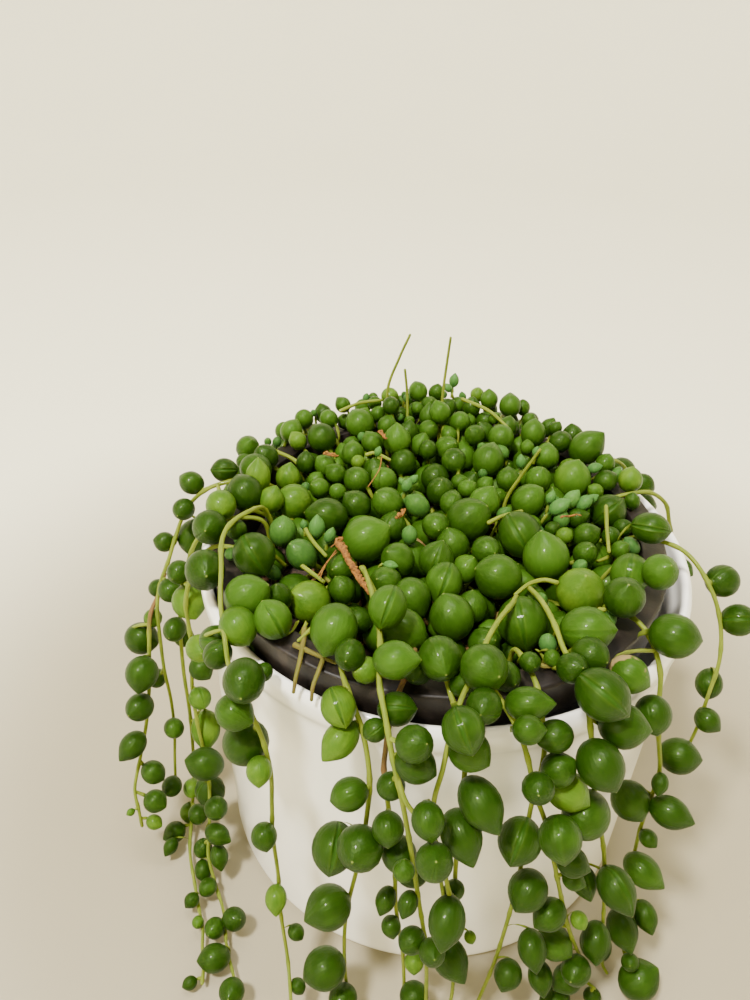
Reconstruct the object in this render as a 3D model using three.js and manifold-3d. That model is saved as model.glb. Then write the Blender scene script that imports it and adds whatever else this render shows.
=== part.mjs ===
// A potted string of pearls, as an assembly of separate pieces: a white glazed planter, the plastic
// nursery pot that stands inside it, the soil, the crown of pearl leaves on the soil, and every
// leafy stem that grows over the rim and hangs down the planter or trails along the surface below.
// Millimetres, +Z up. The origin is the centre of the planter's flat base, and -Y is the front.
import * as THREE from "three";
import { mergeVertices } from "three/addons/utils/BufferGeometryUtils.js";
import Module from "manifold-3d";

const wasm = await Module();
wasm.setup();

// Driving dimensions: the planter, a plain tapered cylinder with a rolled rim.
const PLANTER_HEIGHT = 101.5;
const PLANTER_BASE_RADIUS = 62.7;
const PLANTER_TOP_RADIUS = 64.5;
const PLANTER_RIM_RADIUS = 65.6;
const PLANTER_MOUTH_RADIUS = 62.6;
const PLANTER_FLOOR_RADIUS = 59.5;
const PLANTER_FLOOR = 5;
const RIM_DEPTH = 7;
const RIM_ROUND = 2;
const BASE_EDGE = 2.5;
const FLOOR_ROUND = 3;
const SHOULDER_DROP = 6;

// The nursery pot stands on the planter's floor, a little off its axis.
const NURSERY_X = -2;
const NURSERY_Y = -0.6;
const LIP_TOP = 106.5;
const LIP_RADIUS = 60;
const LIP_INNER_RADIUS = 53.5;
const LIP_THICKNESS = 1.5;
const SKIRT_BOTTOM = 97;
const SKIRT_THICKNESS = 1.3;
const NURSERY_WALL = 1.2;
const NURSERY_TOP_RADIUS = 54.7;
const NURSERY_BASE_RADIUS = 42;
const NURSERY_FLOOR = 1.5;
const DRAIN_HOLES = 5;
const DRAIN_RING_RADIUS = 26;
const DRAIN_HOLE_RADIUS = 3.5;
const LIP_ROUND = 0.5;
const CLEARANCE = 0.3;
const POT_SIDES = 32;
const HOLE_SIDES = 8;

// The soil, with a plain hole for the root of each stem.
const SOIL_TOP = 94.8;
const ROOT_RADIUS = 47;
const ROOT_BOTTOM = 82;
const ROOT_TOP = 98;
const ROOT_HOLE_RADIUS = 1.95;
const ROOT_HOLE_SIDES = 4;

// The stems and the pearls that grow on them. A pearl's profile is in parts of its radius.
const STEM_RADIUS = 1.1;
const STEM_STEP = 7.4;
const STEM_SIDES = 3;
const PEARL_SINK = 0.2;
const PEDICEL = 1;
const PEDICEL_LIMIT = 3;
const PEARL_SIDES = 5;
const PEARL_SHOULDER = [-0.4, 0.95];
const PEARL_CROWN = [0.45, 0.93];
const PEARL_TIP = 1.25;
const PEARL_SWELL = 1.04;
const NECK_WIDTH = 1.35;
const PEARL_LEAN = 0.35;
const PEARL_ROOM = 0.9;
const LIE = 0.3;
const STEM_ROOM = 0.45;
const STEM_RISE = 0.3;
const TIP_WIDTH = 0.2;
const NECK_PARTS = [0.3, 0.6, 0.8];
const NECK_REST = 0.8;
const CLEAR_ROUNDS = 3;
const TOUCH = 0.01;
const SPAN_SAMPLES = 8;
const SIDE_TRIES = [0, 50, -50, 100, -100, 150];
const SIZE_TRIES = [1, 0.84, 0.7];

// The crown: a low core of stems and roots, and the pearls that stand out of it.
const CORE_PROFILE = [
  [41, 95.2],
  [42.5, 97],
  [41, 99.5],
  [34, 102],
  [20, 104],
];
const CORE_TOP = 105;
const CORE_SIDES = 20;
const CORE_REACH = 38;
const CORE_ROOT = 97.5;
const CROWN_RADIUS = 51;
const CROWN_EDGE = 101.5;
const CROWN_X = -2;
const CROWN_Y = 2;
const CROWN_CEILING = 111.5;
const CROWN_FALL = 0.0018;
const CROWN_ATTEMPTS = 1500;
const CROWN_CHOICES = 3;
const CROWN_NESTLE = 0.9;
const CROWN_SMALLEST = 3.4;
const CROWN_RANGE = 1.7;
const CROWN_BED = 0.8;
const CROWN_ROOM = 0.88;
const CORE_SINK = 2.5;
const STALK_RADIUS = 0.7;

// The four kinds of surface, as colour and roughness.
const glaze = surface(0xe4dfd2, 0.22);
const plastic = surface(0x4e423a, 0.5);
const earth = surface(0x3a2a1f, 0.95);
const foliage = surface(0x93ac3a, 0.45);

// Routes of the stems that the front shows, each a list of [azimuth, distance from the axis, height].
// Azimuth 0 is the front and +90 the right. Pearls are [distance along the stem, side, diameter]:
// side 0 faces away from the planter. "start" places the root, and "branch" is a second shoot.
const STRANDS = {
  left_arch: {
    root: -100,
    route: [[-100, 48.5, 107.5], [-96, 56, 111.5], [-93, 63, 111], [-92, 68, 108], [-91, 72, 103],
      [-90, 75, 96], [-86, 77, 89], [-84, 79, 84], [-81, 80, 78], [-79, 80, 67], [-78, 80, 57],
      [-76, 79, 47], [-74, 79, 37], [-72, 80, 27], [-70, 81, 16]],
    branch: [[-85, 78, 86], [-83, 79.5, 81], [-80, 82, 76], [-77, 83, 66], [-74, 84, 56],
      [-71, 86, 46], [-69, 89, 36], [-66, 92, 28], [-64, 92, 22], [-63, 92, 16]],
    pearls: [[30, 80, 9], [39, -10, 8], [47, 60, 8], [54, -90, 7], [66, -70, 6.5], [73, -160, 6],
      [80, -90, 6.5], [88, -90, 5.5], [127, -90, 6.5], [149, -80, 6.5], [151, 0, 7]],
    branchPearls: [[18, -80, 9.5], [29, -80, 9.5], [41, -60, 8], [53, -50, 8], [60, 180, 7],
      [72, -30, 4], [78, 180, 5.5]],
  },
  left_trail: {
    root: -82,
    route: [[-82, 48.5, 107.5], [-81, 56, 109.3], [-80, 61, 108.3], [-79, 66, 103.8], [-78, 69, 97],
      [-78, 71, 90], [-77, 73, 78], [-76, 74, 60], [-75, 74, 40], [-73, 75, 20], [-68, 77, 8],
      [-60, 80, 3.5], [-52, 82, 3.5], [-47, 84, 3.5], [-43, 86, 3.5], [-40, 89, 3.5],
      [-37, 92, 3.5], [-35, 95, 3.5]],
    pearls: [[32, 100, 9], [41, -90, 9.5], [50, 90, 8], [60, -80, 8], [77, -80, 6.5], [112, -60, 6],
      [151, -50, 6.5], [156, -150, 7], [165, -150, 6], [169, 180, 6.5], [174, -50, 4.5],
      [177, -100, 4.5], [191, -140, 7.5], [197, -10, 4.5]],
  },
  left_curtain: {
    root: -66,
    route: [[-66, 48.5, 107.5], [-68, 56, 109.3], [-70, 61, 109], [-71, 65.5, 104.2],
      [-71, 68.3, 98], [-70, 70, 91], [-70, 70, 84], [-69, 70, 74], [-70, 71.5, 60],
      [-67, 71.5, 48], [-65, 71, 40], [-62, 71, 30], [-58, 73, 20], [-54, 76, 10], [-49, 77, 4],
      [-43, 79, 3.5], [-37, 84, 3.5], [-32, 88, 3.5], [-29, 91, 3.5]],
    pearls: [[27, 90, 9], [34, -60, 9.5], [43, 70, 8], [51, -80, 9], [60, -110, 9], [70, -110, 6.5],
      [76, -120, 7.5], [85, -140, 6], [97, 100, 6.5], [103, 100, 8], [120, -90, 10], [131, -80, 10],
      [124, 20, 8.5], [133, 10, 7], [146, 170, 7], [158, -120, 7], [167, -110, 8.5], [170, -30, 5.5],
      [187, -70, 7]],
  },
  left_front: {
    root: -90,
    route: [[-89, 49, 107], [-80, 51, 112.5], [-74, 56, 113], [-68, 59, 112.3], [-60, 61, 110],
      [-53, 64, 106.5], [-46, 67, 103.5], [-42, 69, 99], [-36, 70, 93], [-32, 70.5, 86],
      [-30, 71, 76], [-30, 71.5, 64], [-30, 72, 52], [-29, 72.5, 36], [-28, 74, 22], [-25, 77, 7],
      [-22, 82, 3.5], [-20, 86, 3.5]],
    pearls: [[33, 60, 9], [42, -70, 8.5], [52, -90, 5], [60, 80, 8.5], [99, -20, 8], [91, -10, 7.5],
      [109, 90, 5], [134, 0, 6.5], [158, -30, 6.5], [172, -120, 5], [187, -110, 5]],
  },
  left_single: {
    root: -31,
    route: [[-31, 48.5, 107.5], [-31, 55, 108.8], [-31, 60, 108.3], [-31.5, 64, 106.5],
      [-32.5, 67.8, 101.5], [-33, 69, 96]],
    pearls: [[24, 90, 9], [32, -80, 9.5], [40, 60, 8.5], [51, -20, 9.5]],
  },
  front_left: {
    root: -24,
    route: [[-23, 48.5, 107.5], [-21, 56, 109], [-18, 61.5, 109], [-14, 66, 106.2], [-11, 69, 101],
      [-9, 72, 91], [-9, 74, 79], [-10, 75, 64], [-12, 76, 41], [-12, 77, 20], [-11, 78, 6],
      [-10, 81, 3.5]],
    pearls: [[30, -80, 9], [44, 30, 8.5], [53, 30, 9], [68, 40, 8.5], [65, -90, 7], [88, 80, 10.5],
      [86, 0, 9.5], [110, 40, 10.5], [136, 40, 10.5], [148, 0, 8.5]],
  },
  front_long: {
    root: -14,
    join: [[-14, 48.5, 106], [-14, 51, 111.6]],
    route: [[-36, 32, 111], [-25, 38, 112.5], [-16, 47, 112.5], [-12, 55, 111.4], [-10, 62, 110],
      [-7, 69, 106.5], [-5, 73, 100], [-3, 75, 90], [-1, 76, 75], [1, 77, 57], [3, 78, 38],
      [4, 78, 16], [4, 80, 5], [3.5, 84, 3.5]],
    branch: [[-4, 74, 96], [-2, 77, 92], [2, 79, 86], [4, 80, 77], [6, 81, 63], [7, 81, 50]],
    pearls: [[17, -40, 8], [31, -50, 8.5], [42, -80, 8], [50, -80, 8], [56, -110, 7.5], [62, 50, 7],
      [78, 130, 7.5], [90, 50, 5.5], [98, 60, 4.5], [106, 80, 5], [114, 120, 8], [138, 80, 4.5]],
    branchPearls: [[11, -60, 6], [33, -40, 5], [49, -80, 5]],
  },
  front_inner: {
    root: -5,
    route: [[-5, 48.5, 107.5], [-5, 56, 109.3], [-6, 61, 108.3], [-7, 65, 103.8], [-7, 68.3, 98],
      [-7, 69.5, 92], [-6, 71, 85], [-4, 72, 65], [-3, 73, 45], [-1, 74, 25], [0, 76, 6],
      [0, 80, 3.5]],
    pearls: [[47, 90, 7], [58, -90, 7.5], [84, 20, 8], [93, -30, 8], [112, 0, 6.5], [119, 90, 6],
      [140, 0, 5]],
  },
  front_arch: {
    root: 15.5,
    join: [[15, 48.5, 106], [12, 51, 112]],
    route: [[30, 36, 111], [25, 39.5, 112.5], [18, 44, 112.5], [12, 51, 112], [9, 57, 111.2],
      [6, 63, 110], [4, 69, 106.5], [3, 73, 99.5], [2, 75, 90], [3, 76, 76], [5, 77, 60],
      [6, 78, 48]],
    pearls: [[8, -60, 8.5], [27, -20, 9.5], [42, 0, 8.5], [81, 10, 9], [99, 0, 9]],
  },
  front_mid: {
    root: 4,
    route: [[4, 48.5, 107.5], [3, 56, 109.3], [4, 61, 108.3], [6, 65, 103.8], [7, 68.3, 98],
      [7, 70.5, 92], [7, 73, 80], [7, 74, 65], [8, 75, 45], [9, 77, 18], [8.5, 79, 8],
      [8, 82, 4], [8, 86, 3.5]],
    pearls: [[30, -90, 9], [48, -40, 8], [62, -30, 9.5], [74, 10, 9.5], [96, -80, 7],
      [120, 40, 9.5]],
  },
  front_right: {
    root: 10,
    route: [[11, 48.5, 107.5], [11, 56, 109.3], [13, 61, 108.3], [16, 65.5, 103.8], [17.5, 69.5, 99],
      [19, 73, 90], [21, 75, 82], [23, 75.5, 72], [25, 76, 62], [28, 76.5, 47], [31, 78, 32],
      [36, 79, 13], [37, 80, 5], [38, 83, 3.5]],
    pearls: [[30, 90, 9], [38, 70, 6.5], [43, -100, 8], [50, -80, 7.5], [57, -80, 7], [66, 60, 7],
      [77, 90, 9.5], [79, -30, 7], [97, 100, 9.5], [98, -60, 5], [107, 80, 7.5], [114, -50, 4.5],
      [120, 100, 10], [128, 80, 9], [146, -60, 6]],
  },
  front_right_inner: {
    root: 21.5,
    route: [[21.5, 48.5, 107.5], [21.5, 56, 109.3], [21.5, 61, 108.3], [21.5, 65, 103.6],
      [21.5, 68, 98], [21, 69.5, 90], [20, 70.5, 80], [20, 71.5, 62], [19, 73, 42], [17, 75, 22],
      [14, 78, 6], [13, 83, 3.5]],
    pearls: [[30, -90, 9], [39, 60, 8], [80, 0, 8], [94, 60, 9], [108, -20, 9], [121, 40, 8.5],
      [132, -20, 8]],
  },
  right_front: {
    root: 33,
    join: [[33, 48.5, 106], [32.5, 49.5, 111.6]],
    route: [[38, 34, 110.5], [35, 41, 112.5], [33, 48, 112], [31, 55, 110.5], [31, 61, 109.6],
      [30, 66, 106], [30, 69.5, 99], [31, 71.5, 88], [33, 73, 76], [36, 75, 60], [38, 77, 42],
      [40, 78.5, 22], [41.5, 80, 7], [42, 82, 3.5]],
    pearls: [[18, 70, 8], [29, -60, 10], [33, 10, 10.5], [42, -60, 10], [50, 10, 9.5],
      [57, 110, 10], [67, 60, 10.5], [83, 120, 8.5], [92, 0, 10], [97, 150, 9], [112, -10, 10.5],
      [122, -160, 9], [135, 110, 9.5]],
  },
  right_long: {
    root: 56,
    route: [[55, 48.5, 107.5], [53, 56, 110], [51, 62, 108.8], [49, 67, 103.8], [47, 70, 96],
      [48, 71.5, 87], [51, 73, 72], [51, 73, 60], [50, 73.5, 49], [49, 75, 37], [49, 77, 24],
      [48, 79.5, 8], [46.5, 84, 3.5]],
    pearls: [[26, 80, 9], [33, -90, 9], [40, -30, 10], [48, 90, 8], [56, 80, 8], [66, -80, 7],
      [83, -110, 6], [92, 10, 10], [94, 120, 9.5], [104, 10, 6], [117, 30, 10.5], [131, 0, 8.5],
      [150, 20, 10.5]],
  },
  right_arch: {
    root: 92,
    route: [[90, 48.5, 107.5], [86, 57, 110], [82, 63, 109.5], [77, 69, 104.8], [75, 73, 97],
      [72, 75, 89], [69, 75, 80], [67, 75, 70], [66, 74, 58]],
    pearls: [[24, 90, 9], [30, 30, 8], [38, 150, 8], [49, 70, 10], [59, 30, 7.5], [68, -80, 8],
      [75, 100, 8], [85, 70, 7], [98, 20, 9], [101, 110, 10.5]],
  },
};

// Stems of the back and the far sides, by a rule: [name, root azimuth, height of the hanging end].
const BACK_STRANDS = [
  ["back_right_low", 110, 14],
  ["back_right_mid", 127, 46],
  ["back_right_high", 146, 68],
  ["back_centre_low", 165, 24],
  ["back_centre_mid", 185, 52],
  ["back_left_high", 205, 74],
  ["back_left_low", 225, 18],
  ["back_left_mid", 244, 40],
];
const BACK_START = [[48.5, 107.5], [56, 109.3], [61, 108.3], [66, 104], [68.5, 98]];
const BACK_DROP = 12;
const BACK_SWAY = 5;
const BACK_DISTANCE = 70.5;
const BACK_SPREAD = 3;
const BACK_FIRST_PEARL = 27;
const BACK_PEARL_STEP = [9.1, 6.5];
const BACK_SIDE = 75;
const BACK_SIDE_RANGE = 80;
const BACK_PEARL = 9.6;
const BACK_TAPER = 3;
const BACK_SEED = 31;

// Pearls of the crown that mark its shape, as [x, y, height, diameter], from the front to the back.
const CROWN_MARKS = [
  [-43, -39, 110, 9], [-37, -45, 111, 9], [-30, -39, 110, 8.5], [-23, -45, 110, 10.5],
  [-16, -43, 109, 6.5], [-8, -42, 109, 10], [4, -40, 109, 10], [1, -52, 110, 10],
  [19, -37, 109, 10.5], [14, -52, 109, 7], [34, -37, 109, 10.5], [44, -25, 109, 10],
  [40, -50, 112, 10.5], [55, -16, 110, 8], [-23, -33, 109, 8], [-12, -37, 106, 8],
  [-35, -21, 109, 7.5], [-46, -22, 110, 10], [-24, -24, 108, 6.5], [-13, -28, 107, 7],
  [-6, -31, 108, 8], [1, -26, 110, 9.5], [8, -32, 107, 7], [15, -34, 106, 8],
  [14, -23, 110, 10.5], [34, -25, 110, 10.5], [26, -15, 110, 10], [46, -16, 108, 8],
  [-42, -13, 109, 7], [-20, -14, 111, 10.5], [-11, -19, 108, 7], [-2, -17, 108, 7.5],
  [3, -15, 106, 6], [20, -8, 111, 10.5], [36, -11, 108, 6], [46, -9, 108, 6.5],
  [21, -19, 107, 6], [11, -12, 108, 7], [-31, -4, 110, 9.5], [-24, 1, 109, 7], [-16, 3, 110, 8],
  [-7, -7, 108, 6], [-3, -6, 109, 7], [6, -2, 111, 10.5], [31, 6, 109, 6.5], [43, 8, 110, 10],
  [54, 3, 111, 8], [22, 9, 110, 9], [10, 8, 109, 8], [1, 6, 108, 6.5], [-8, 5, 108, 6],
  [-53, 9, 111, 7.5], [-47, 1, 110, 6.5], [-41, 0, 110, 8], [-36, 20, 109, 7],
  [-46, 20, 109, 6.5], [-26, 15, 109, 7], [-18, 14, 109, 7], [-14, 23, 110, 7.5],
  [-4, 17, 110, 8.5], [0, 25, 110, 8], [10, 26, 111, 10.5], [17, 19, 109, 6.5],
  [26, 23, 109, 7], [35, 23, 110, 10], [44, 25, 109, 8], [-54, 21, 111, 8], [-49, 27, 110, 6],
  [-39, 35, 110, 9], [-29, 28, 109, 6.5], [-24, 35, 109, 6], [-16, 34, 110, 8],
  [15, 42, 110, 8.5], [25, 46, 110, 9], [27, 34, 109, 7.5], [33, 43, 110, 8],
  [40, 41, 111, 10.5], [-29, 44, 110, 8.5], [-39, 49, 110, 6], [-36, 56, 110, 6],
  [-22, 62, 110, 7], [-14, 65, 110, 8.5], [-7, 55, 110, 8], [2, 52, 110, 7], [10, 66, 110, 6],
  [17, 62, 110, 7.5],
];

// Flower stalks and a bare shoot that rise from the crown, as lists of [x, y, height].
const STALKS = [
  [[-16, 33, 99], [-20, 45, 110], [-21, 49, 120], [-18, 50, 130], [-15, 50, 138]],
  [[-11, 34, 99], [-14, 45, 110], [-15, 49, 119], [-16, 49, 127]],
  [[-3, 36, 99], [-4, 46, 110], [-4, 49, 121], [-3.5, 50, 130], [-3, 50, 138]],
  [[15, 6, 102], [16, 9, 110], [19, 9, 118], [23, 9, 127]],
];
const CROWN_SEED = 7;

// A material with one colour and roughness, and no metal in it.
function surface(color, roughness) {
  return new THREE.MeshStandardMaterial({ color, roughness, metalness: 0 });
}

// Repeatable random numbers between 0 and 1.
function randomStream(seed) {
  let state = seed * 7919 + 104729;
  return () => {
    state = (state * 16807) % 2147483647;
    return state / 2147483647;
  };
}

// A closed geometry as a solid that can be joined and cut.
function solidOf(geometry) {
  const bare = geometry.clone();
  bare.deleteAttribute("normal");
  bare.deleteAttribute("uv");
  const merged = mergeVertices(bare, 1e-4);
  const vertProperties = new Float32Array(merged.attributes.position.array);
  const triVerts = new Uint32Array(merged.index.array);
  return new wasm.Manifold(new wasm.Mesh({ numProp: 3, vertProperties, triVerts }));
}

// A solid as a geometry for a mesh.
function geometryOf(solid) {
  const mesh = solid.getMesh();
  const geometry = new THREE.BufferGeometry();
  geometry.setAttribute("position", new THREE.BufferAttribute(mesh.vertProperties, 3));
  geometry.setIndex(new THREE.BufferAttribute(mesh.triVerts, 1));
  geometry.computeVertexNormals();
  return geometry;
}

// A turned shape round the vertical axis, from [radius, height] points listed upwards on its outside.
function turned(outline, sides) {
  const points = outline.map(([radius, height]) => new THREE.Vector2(radius, height));
  return new THREE.LatheGeometry(points, sides).rotateX(Math.PI / 2);
}

// An upright prism with its foot at the given point.
function prism(radius, height, sides, x, y, foot) {
  const geometry = new THREE.CylinderGeometry(radius, radius, height, sides);
  return geometry.rotateX(Math.PI / 2).translate(x, y, foot + height / 2);
}

// A point from its azimuth in degrees, distance from the axis and height.
function place([azimuth, distance, height]) {
  const angle = THREE.MathUtils.degToRad(azimuth);
  return new THREE.Vector3(distance * Math.sin(angle), -distance * Math.cos(angle), height);
}

// A smooth curve through the points, sampled as a line with its running length. The spine holds
// the corners of the rod that is made along it.
function lineThrough(points) {
  const curve = new THREE.CatmullRomCurve3(points, false, "catmullrom", 0.5);
  const samples = curve.getPoints(SPAN_SAMPLES * (points.length - 1));
  const run = [0];
  for (let i = 1; i < samples.length; i++) {
    run.push(run[i - 1] + samples[i].distanceTo(samples[i - 1]));
  }
  const length = run[run.length - 1];
  const spine = curve.getSpacedPoints(Math.max(2, Math.ceil(length / STEM_STEP)));
  return { curve, samples, run, length, spine };
}

// Where a line has run a given length, with its direction there.
function along(line, length) {
  const wanted = Math.min(Math.max(length, 0), line.length);
  let i = 1;
  while (i < line.run.length - 1 && line.run[i] < wanted) i++;
  const part = (wanted - line.run[i - 1]) / (line.run[i] - line.run[i - 1]);
  const point = line.samples[i - 1].clone().lerp(line.samples[i], part);
  const tangent = line.samples[i].clone().sub(line.samples[i - 1]).normalize();
  return { point, tangent };
}

// The shapes that pearls keep clear of, as [distance, height] corners round the axis.
const NURSERY_SHIFT = Math.hypot(NURSERY_X, NURSERY_Y);
const ROUNDING = 0.2;
const MOUTH_TAPER = 1.4;
const REACH_RADIUS = LIP_RADIUS + NURSERY_SHIFT + ROUNDING;
const MOUTH_RADIUS = LIP_INNER_RADIUS - NURSERY_SHIFT - ROUNDING;
const SKYLINE = [
  [0, SOIL_TOP],
  [MOUTH_RADIUS - MOUTH_TAPER, SOIL_TOP],
  [MOUTH_RADIUS, LIP_TOP],
  [REACH_RADIUS, LIP_TOP],
  [REACH_RADIUS, PLANTER_HEIGHT],
  [PLANTER_RIM_RADIUS, PLANTER_HEIGHT],
  [PLANTER_RIM_RADIUS, PLANTER_HEIGHT - RIM_DEPTH],
  [PLANTER_TOP_RADIUS, PLANTER_HEIGHT - RIM_DEPTH - RIM_ROUND],
  [PLANTER_BASE_RADIUS, 0],
  [PLANTER_RIM_RADIUS * 2, 0],
];

// Moves a centre away from the skyline until a ball of the given radius clears it.
function pushClear(centre, radius) {
  const flat = new THREE.Vector3(Math.hypot(centre.x, centre.y), centre.z, 0);
  const outward = new THREE.Vector3(centre.x, centre.y, 0).normalize();
  const edge = new THREE.Line3();
  const near = new THREE.Vector3();
  for (let round = 0; round < CLEAR_ROUNDS; round++) {
    for (let i = 1; i < SKYLINE.length; i++) {
      edge.start.set(SKYLINE[i - 1][0], SKYLINE[i - 1][1], 0);
      edge.end.set(SKYLINE[i][0], SKYLINE[i][1], 0);
      edge.closestPointToPoint(flat, true, near);
      const short = radius * PEARL_SWELL + LIE - flat.distanceTo(near);
      if (short > 0) flat.add(near.subVectors(flat, near).setLength(short));
    }
  }
  return outward.multiplyScalar(flat.x).setZ(flat.y);
}

// The height of the soil, the pots or the surface at a distance from the axis.
function groundAt(distance) {
  if (distance < MOUTH_RADIUS) return SOIL_TOP;
  if (distance < REACH_RADIUS) return LIP_TOP;
  if (distance < PLANTER_RIM_RADIUS) return PLANTER_HEIGHT;
  return 0;
}

// Whether a point lies in the pots or the soil, or below the surface.
function isBuried(point) {
  return point.z < groundAt(Math.hypot(point.x, point.y)) + LIE;
}

// A pearl that grows from a root point to a centre: its tip points on past the centre.
function pearlAt(owner, root, centre, radius) {
  const axis = centre.clone().sub(root).normalize();
  const tip = centre.clone().addScaledVector(axis, PEARL_TIP * radius);
  return { owner, root, centre, radius, axis, tip };
}

const stems = [];
const pearls = [];

// Whether a ball keeps clear of the stems and pearls of every other piece, and mostly of its own.
function ballClears(owner, centre, radius, own) {
  for (const stem of stems) {
    if (stem.owner === owner) continue;
    for (const sample of stem.samples) {
      if (centre.distanceTo(sample) < radius + stem.radius + STEM_ROOM) return false;
    }
  }
  for (const other of pearls) {
    const room = radius + other.radius * PEARL_SWELL + LIE;
    const least = other.owner === owner ? room * own : room;
    if (centre.distanceTo(other.centre) < least) return false;
    if (other.owner !== owner && centre.distanceTo(other.tip) < radius + LIE) return false;
    if (other.owner !== owner && centre.distanceTo(other.root) < radius + LIE) return false;
  }
  return true;
}

// Whether a whole pearl clears: its ball, its tip and the cone down to its root.
function pearlClears(pearl, own) {
  const { owner, root, centre, radius, tip } = pearl;
  if (!ballClears(owner, centre, radius * PEARL_SWELL, own)) return false;
  if (!ballClears(owner, tip, TIP_WIDTH, 0)) return false;
  if (isBuried(centre) || isBuried(tip)) return false;
  for (const part of NECK_PARTS) {
    const neck = root.clone().lerp(centre, part);
    const width = radius * part * NECK_WIDTH;
    const underside = neck.clone().setZ(neck.z - width * NECK_REST);
    if (isBuried(underside) || !ballClears(owner, neck, width, 0)) return false;
    const moved = pushClear(neck, width * NECK_REST).distanceTo(neck);
    if (owner !== "crown" && moved > TOUCH) return false;
  }
  return true;
}

// Grows one pearl on a line at a side, turned or shrunk until it clears its neighbours.
function growPearl(owner, line, [length, side, diameter]) {
  const { point, tangent } = along(line, length);
  const outward = new THREE.Vector3(point.x, point.y, 0).normalize();
  if (point.z > LIP_TOP) outward.multiplyScalar(STEM_RISE).setZ(1);
  else outward.setZ(STEM_RISE);
  outward.addScaledVector(tangent, -outward.dot(tangent)).normalize();
  const lateral = tangent.clone().cross(outward);
  for (const scale of SIZE_TRIES) {
    for (const turn of SIDE_TRIES) {
      const radius = (diameter / 2) * scale;
      const angle = THREE.MathUtils.degToRad(side + turn);
      const way = outward.clone().multiplyScalar(Math.cos(angle));
      way.addScaledVector(lateral, Math.sin(angle)).addScaledVector(tangent, PEARL_LEAN).normalize();
      const centre = pushClear(point.clone().addScaledVector(way, radius + PEDICEL), radius);
      const pearl = pearlAt(owner, seatOn(line.spine, point), centre, radius);
      if (centre.distanceTo(point) > radius + PEDICEL_LIMIT) continue;
      if (!pearlClears(pearl, PEARL_ROOM)) continue;
      pearls.push(pearl);
      return;
    }
  }
}

// The route of a stem at the back: over the lip, out past the rim and down with a slight sway.
function backRoute(azimuth, end, random) {
  const route = BACK_START.map(([distance, height]) => [azimuth, distance, height]);
  const fallStart = BACK_START[BACK_START.length - 1][1];
  for (let height = fallStart - BACK_DROP; height > end; height -= BACK_DROP) {
    const sway = BACK_SWAY * (random() - 0.5);
    route.push([azimuth + sway, BACK_DISTANCE + BACK_SPREAD * random(), height]);
  }
  return route;
}

// The pearls of a stem at the back: evenly spaced with a random side and size, smaller to the end.
function backPearls(length, random) {
  const list = [];
  const [least, more] = BACK_PEARL_STEP;
  for (let run = BACK_FIRST_PEARL; run < length; run += least + more * random()) {
    const side = (list.length % 2 ? BACK_SIDE : -BACK_SIDE) + BACK_SIDE_RANGE * (random() - 0.5);
    list.push([run, side, BACK_PEARL - BACK_TAPER * (run / length) * random()]);
  }
  return list;
}

// Every strand with its lines: the main stem with its root, and a branch where there is one.
function makeStrands() {
  const strands = [];
  for (const [name, plan] of Object.entries(STRANDS)) {
    const root = [[plan.root, ROOT_RADIUS, ROOT_BOTTOM], [plan.root, ROOT_RADIUS, ROOT_TOP]];
    const lines = [];
    const lists = [];
    if (plan.join) {
      lines.push(lineThrough([...root, ...plan.join].map(place)), lineThrough(plan.route.map(place)));
      lists.push([], plan.pearls);
    } else {
      lines.push(lineThrough([...root, ...plan.route].map(place)));
      lists.push(plan.pearls);
    }
    if (plan.branch) {
      lines.push(lineThrough(plan.branch.map(place)));
      lists.push(plan.branchPearls);
    }
    strands.push({ name, azimuth: plan.root, lines, lists });
  }
  BACK_STRANDS.forEach(([name, azimuth, end], index) => {
    const random = randomStream(BACK_SEED + index);
    const root = [[azimuth, ROOT_RADIUS, ROOT_BOTTOM], [azimuth, ROOT_RADIUS, ROOT_TOP]];
    const line = lineThrough([...root, ...backRoute(azimuth, end, random)].map(place));
    strands.push({ name, azimuth, lines: [line], lists: [backPearls(line.length, random)] });
  });
  return strands;
}

// The height of the core's top at a distance from its axis, and past it of the roots round it.
function coreTop(distance) {
  const rising = [...CORE_PROFILE.slice(2).reverse(), [0, CORE_TOP]].sort((a, b) => a[0] - b[0]);
  for (let i = 1; i < rising.length; i++) {
    const [near, high] = rising[i - 1];
    const [far, low] = rising[i];
    if (distance <= far) return high + ((low - high) * (distance - near)) / (far - near);
  }
  return CROWN_EDGE;
}

// A pearl of the crown: its root lies in the core, under it or further in.
function crownPearl(x, y, height, radius) {
  const centre = pushClear(new THREE.Vector3(x, y, height), radius);
  const distance = Math.hypot(centre.x, centre.y);
  const shrink = Math.min(1, CORE_REACH / distance);
  const under = Math.min(centre.z - radius - PEDICEL, coreTop(distance * shrink) - CORE_SINK);
  const depth = Math.max(CORE_ROOT, under);
  const root = new THREE.Vector3(centre.x * shrink, centre.y * shrink, depth);
  return pearlAt("crown", root, centre, radius);
}

// The height at which a pearl of a radius comes to rest on the core and the pearls below it.
function restHeight(x, y, radius) {
  let height = coreTop(Math.hypot(x, y)) + radius * CROWN_BED;
  for (const { centre, radius: other } of pearls) {
    const reach = (radius + other) * CROWN_NESTLE;
    const apart = Math.hypot(centre.x - x, centre.y - y);
    if (apart < reach) height = Math.max(height, centre.z + Math.sqrt(reach * reach - apart * apart));
  }
  return height;
}

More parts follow.
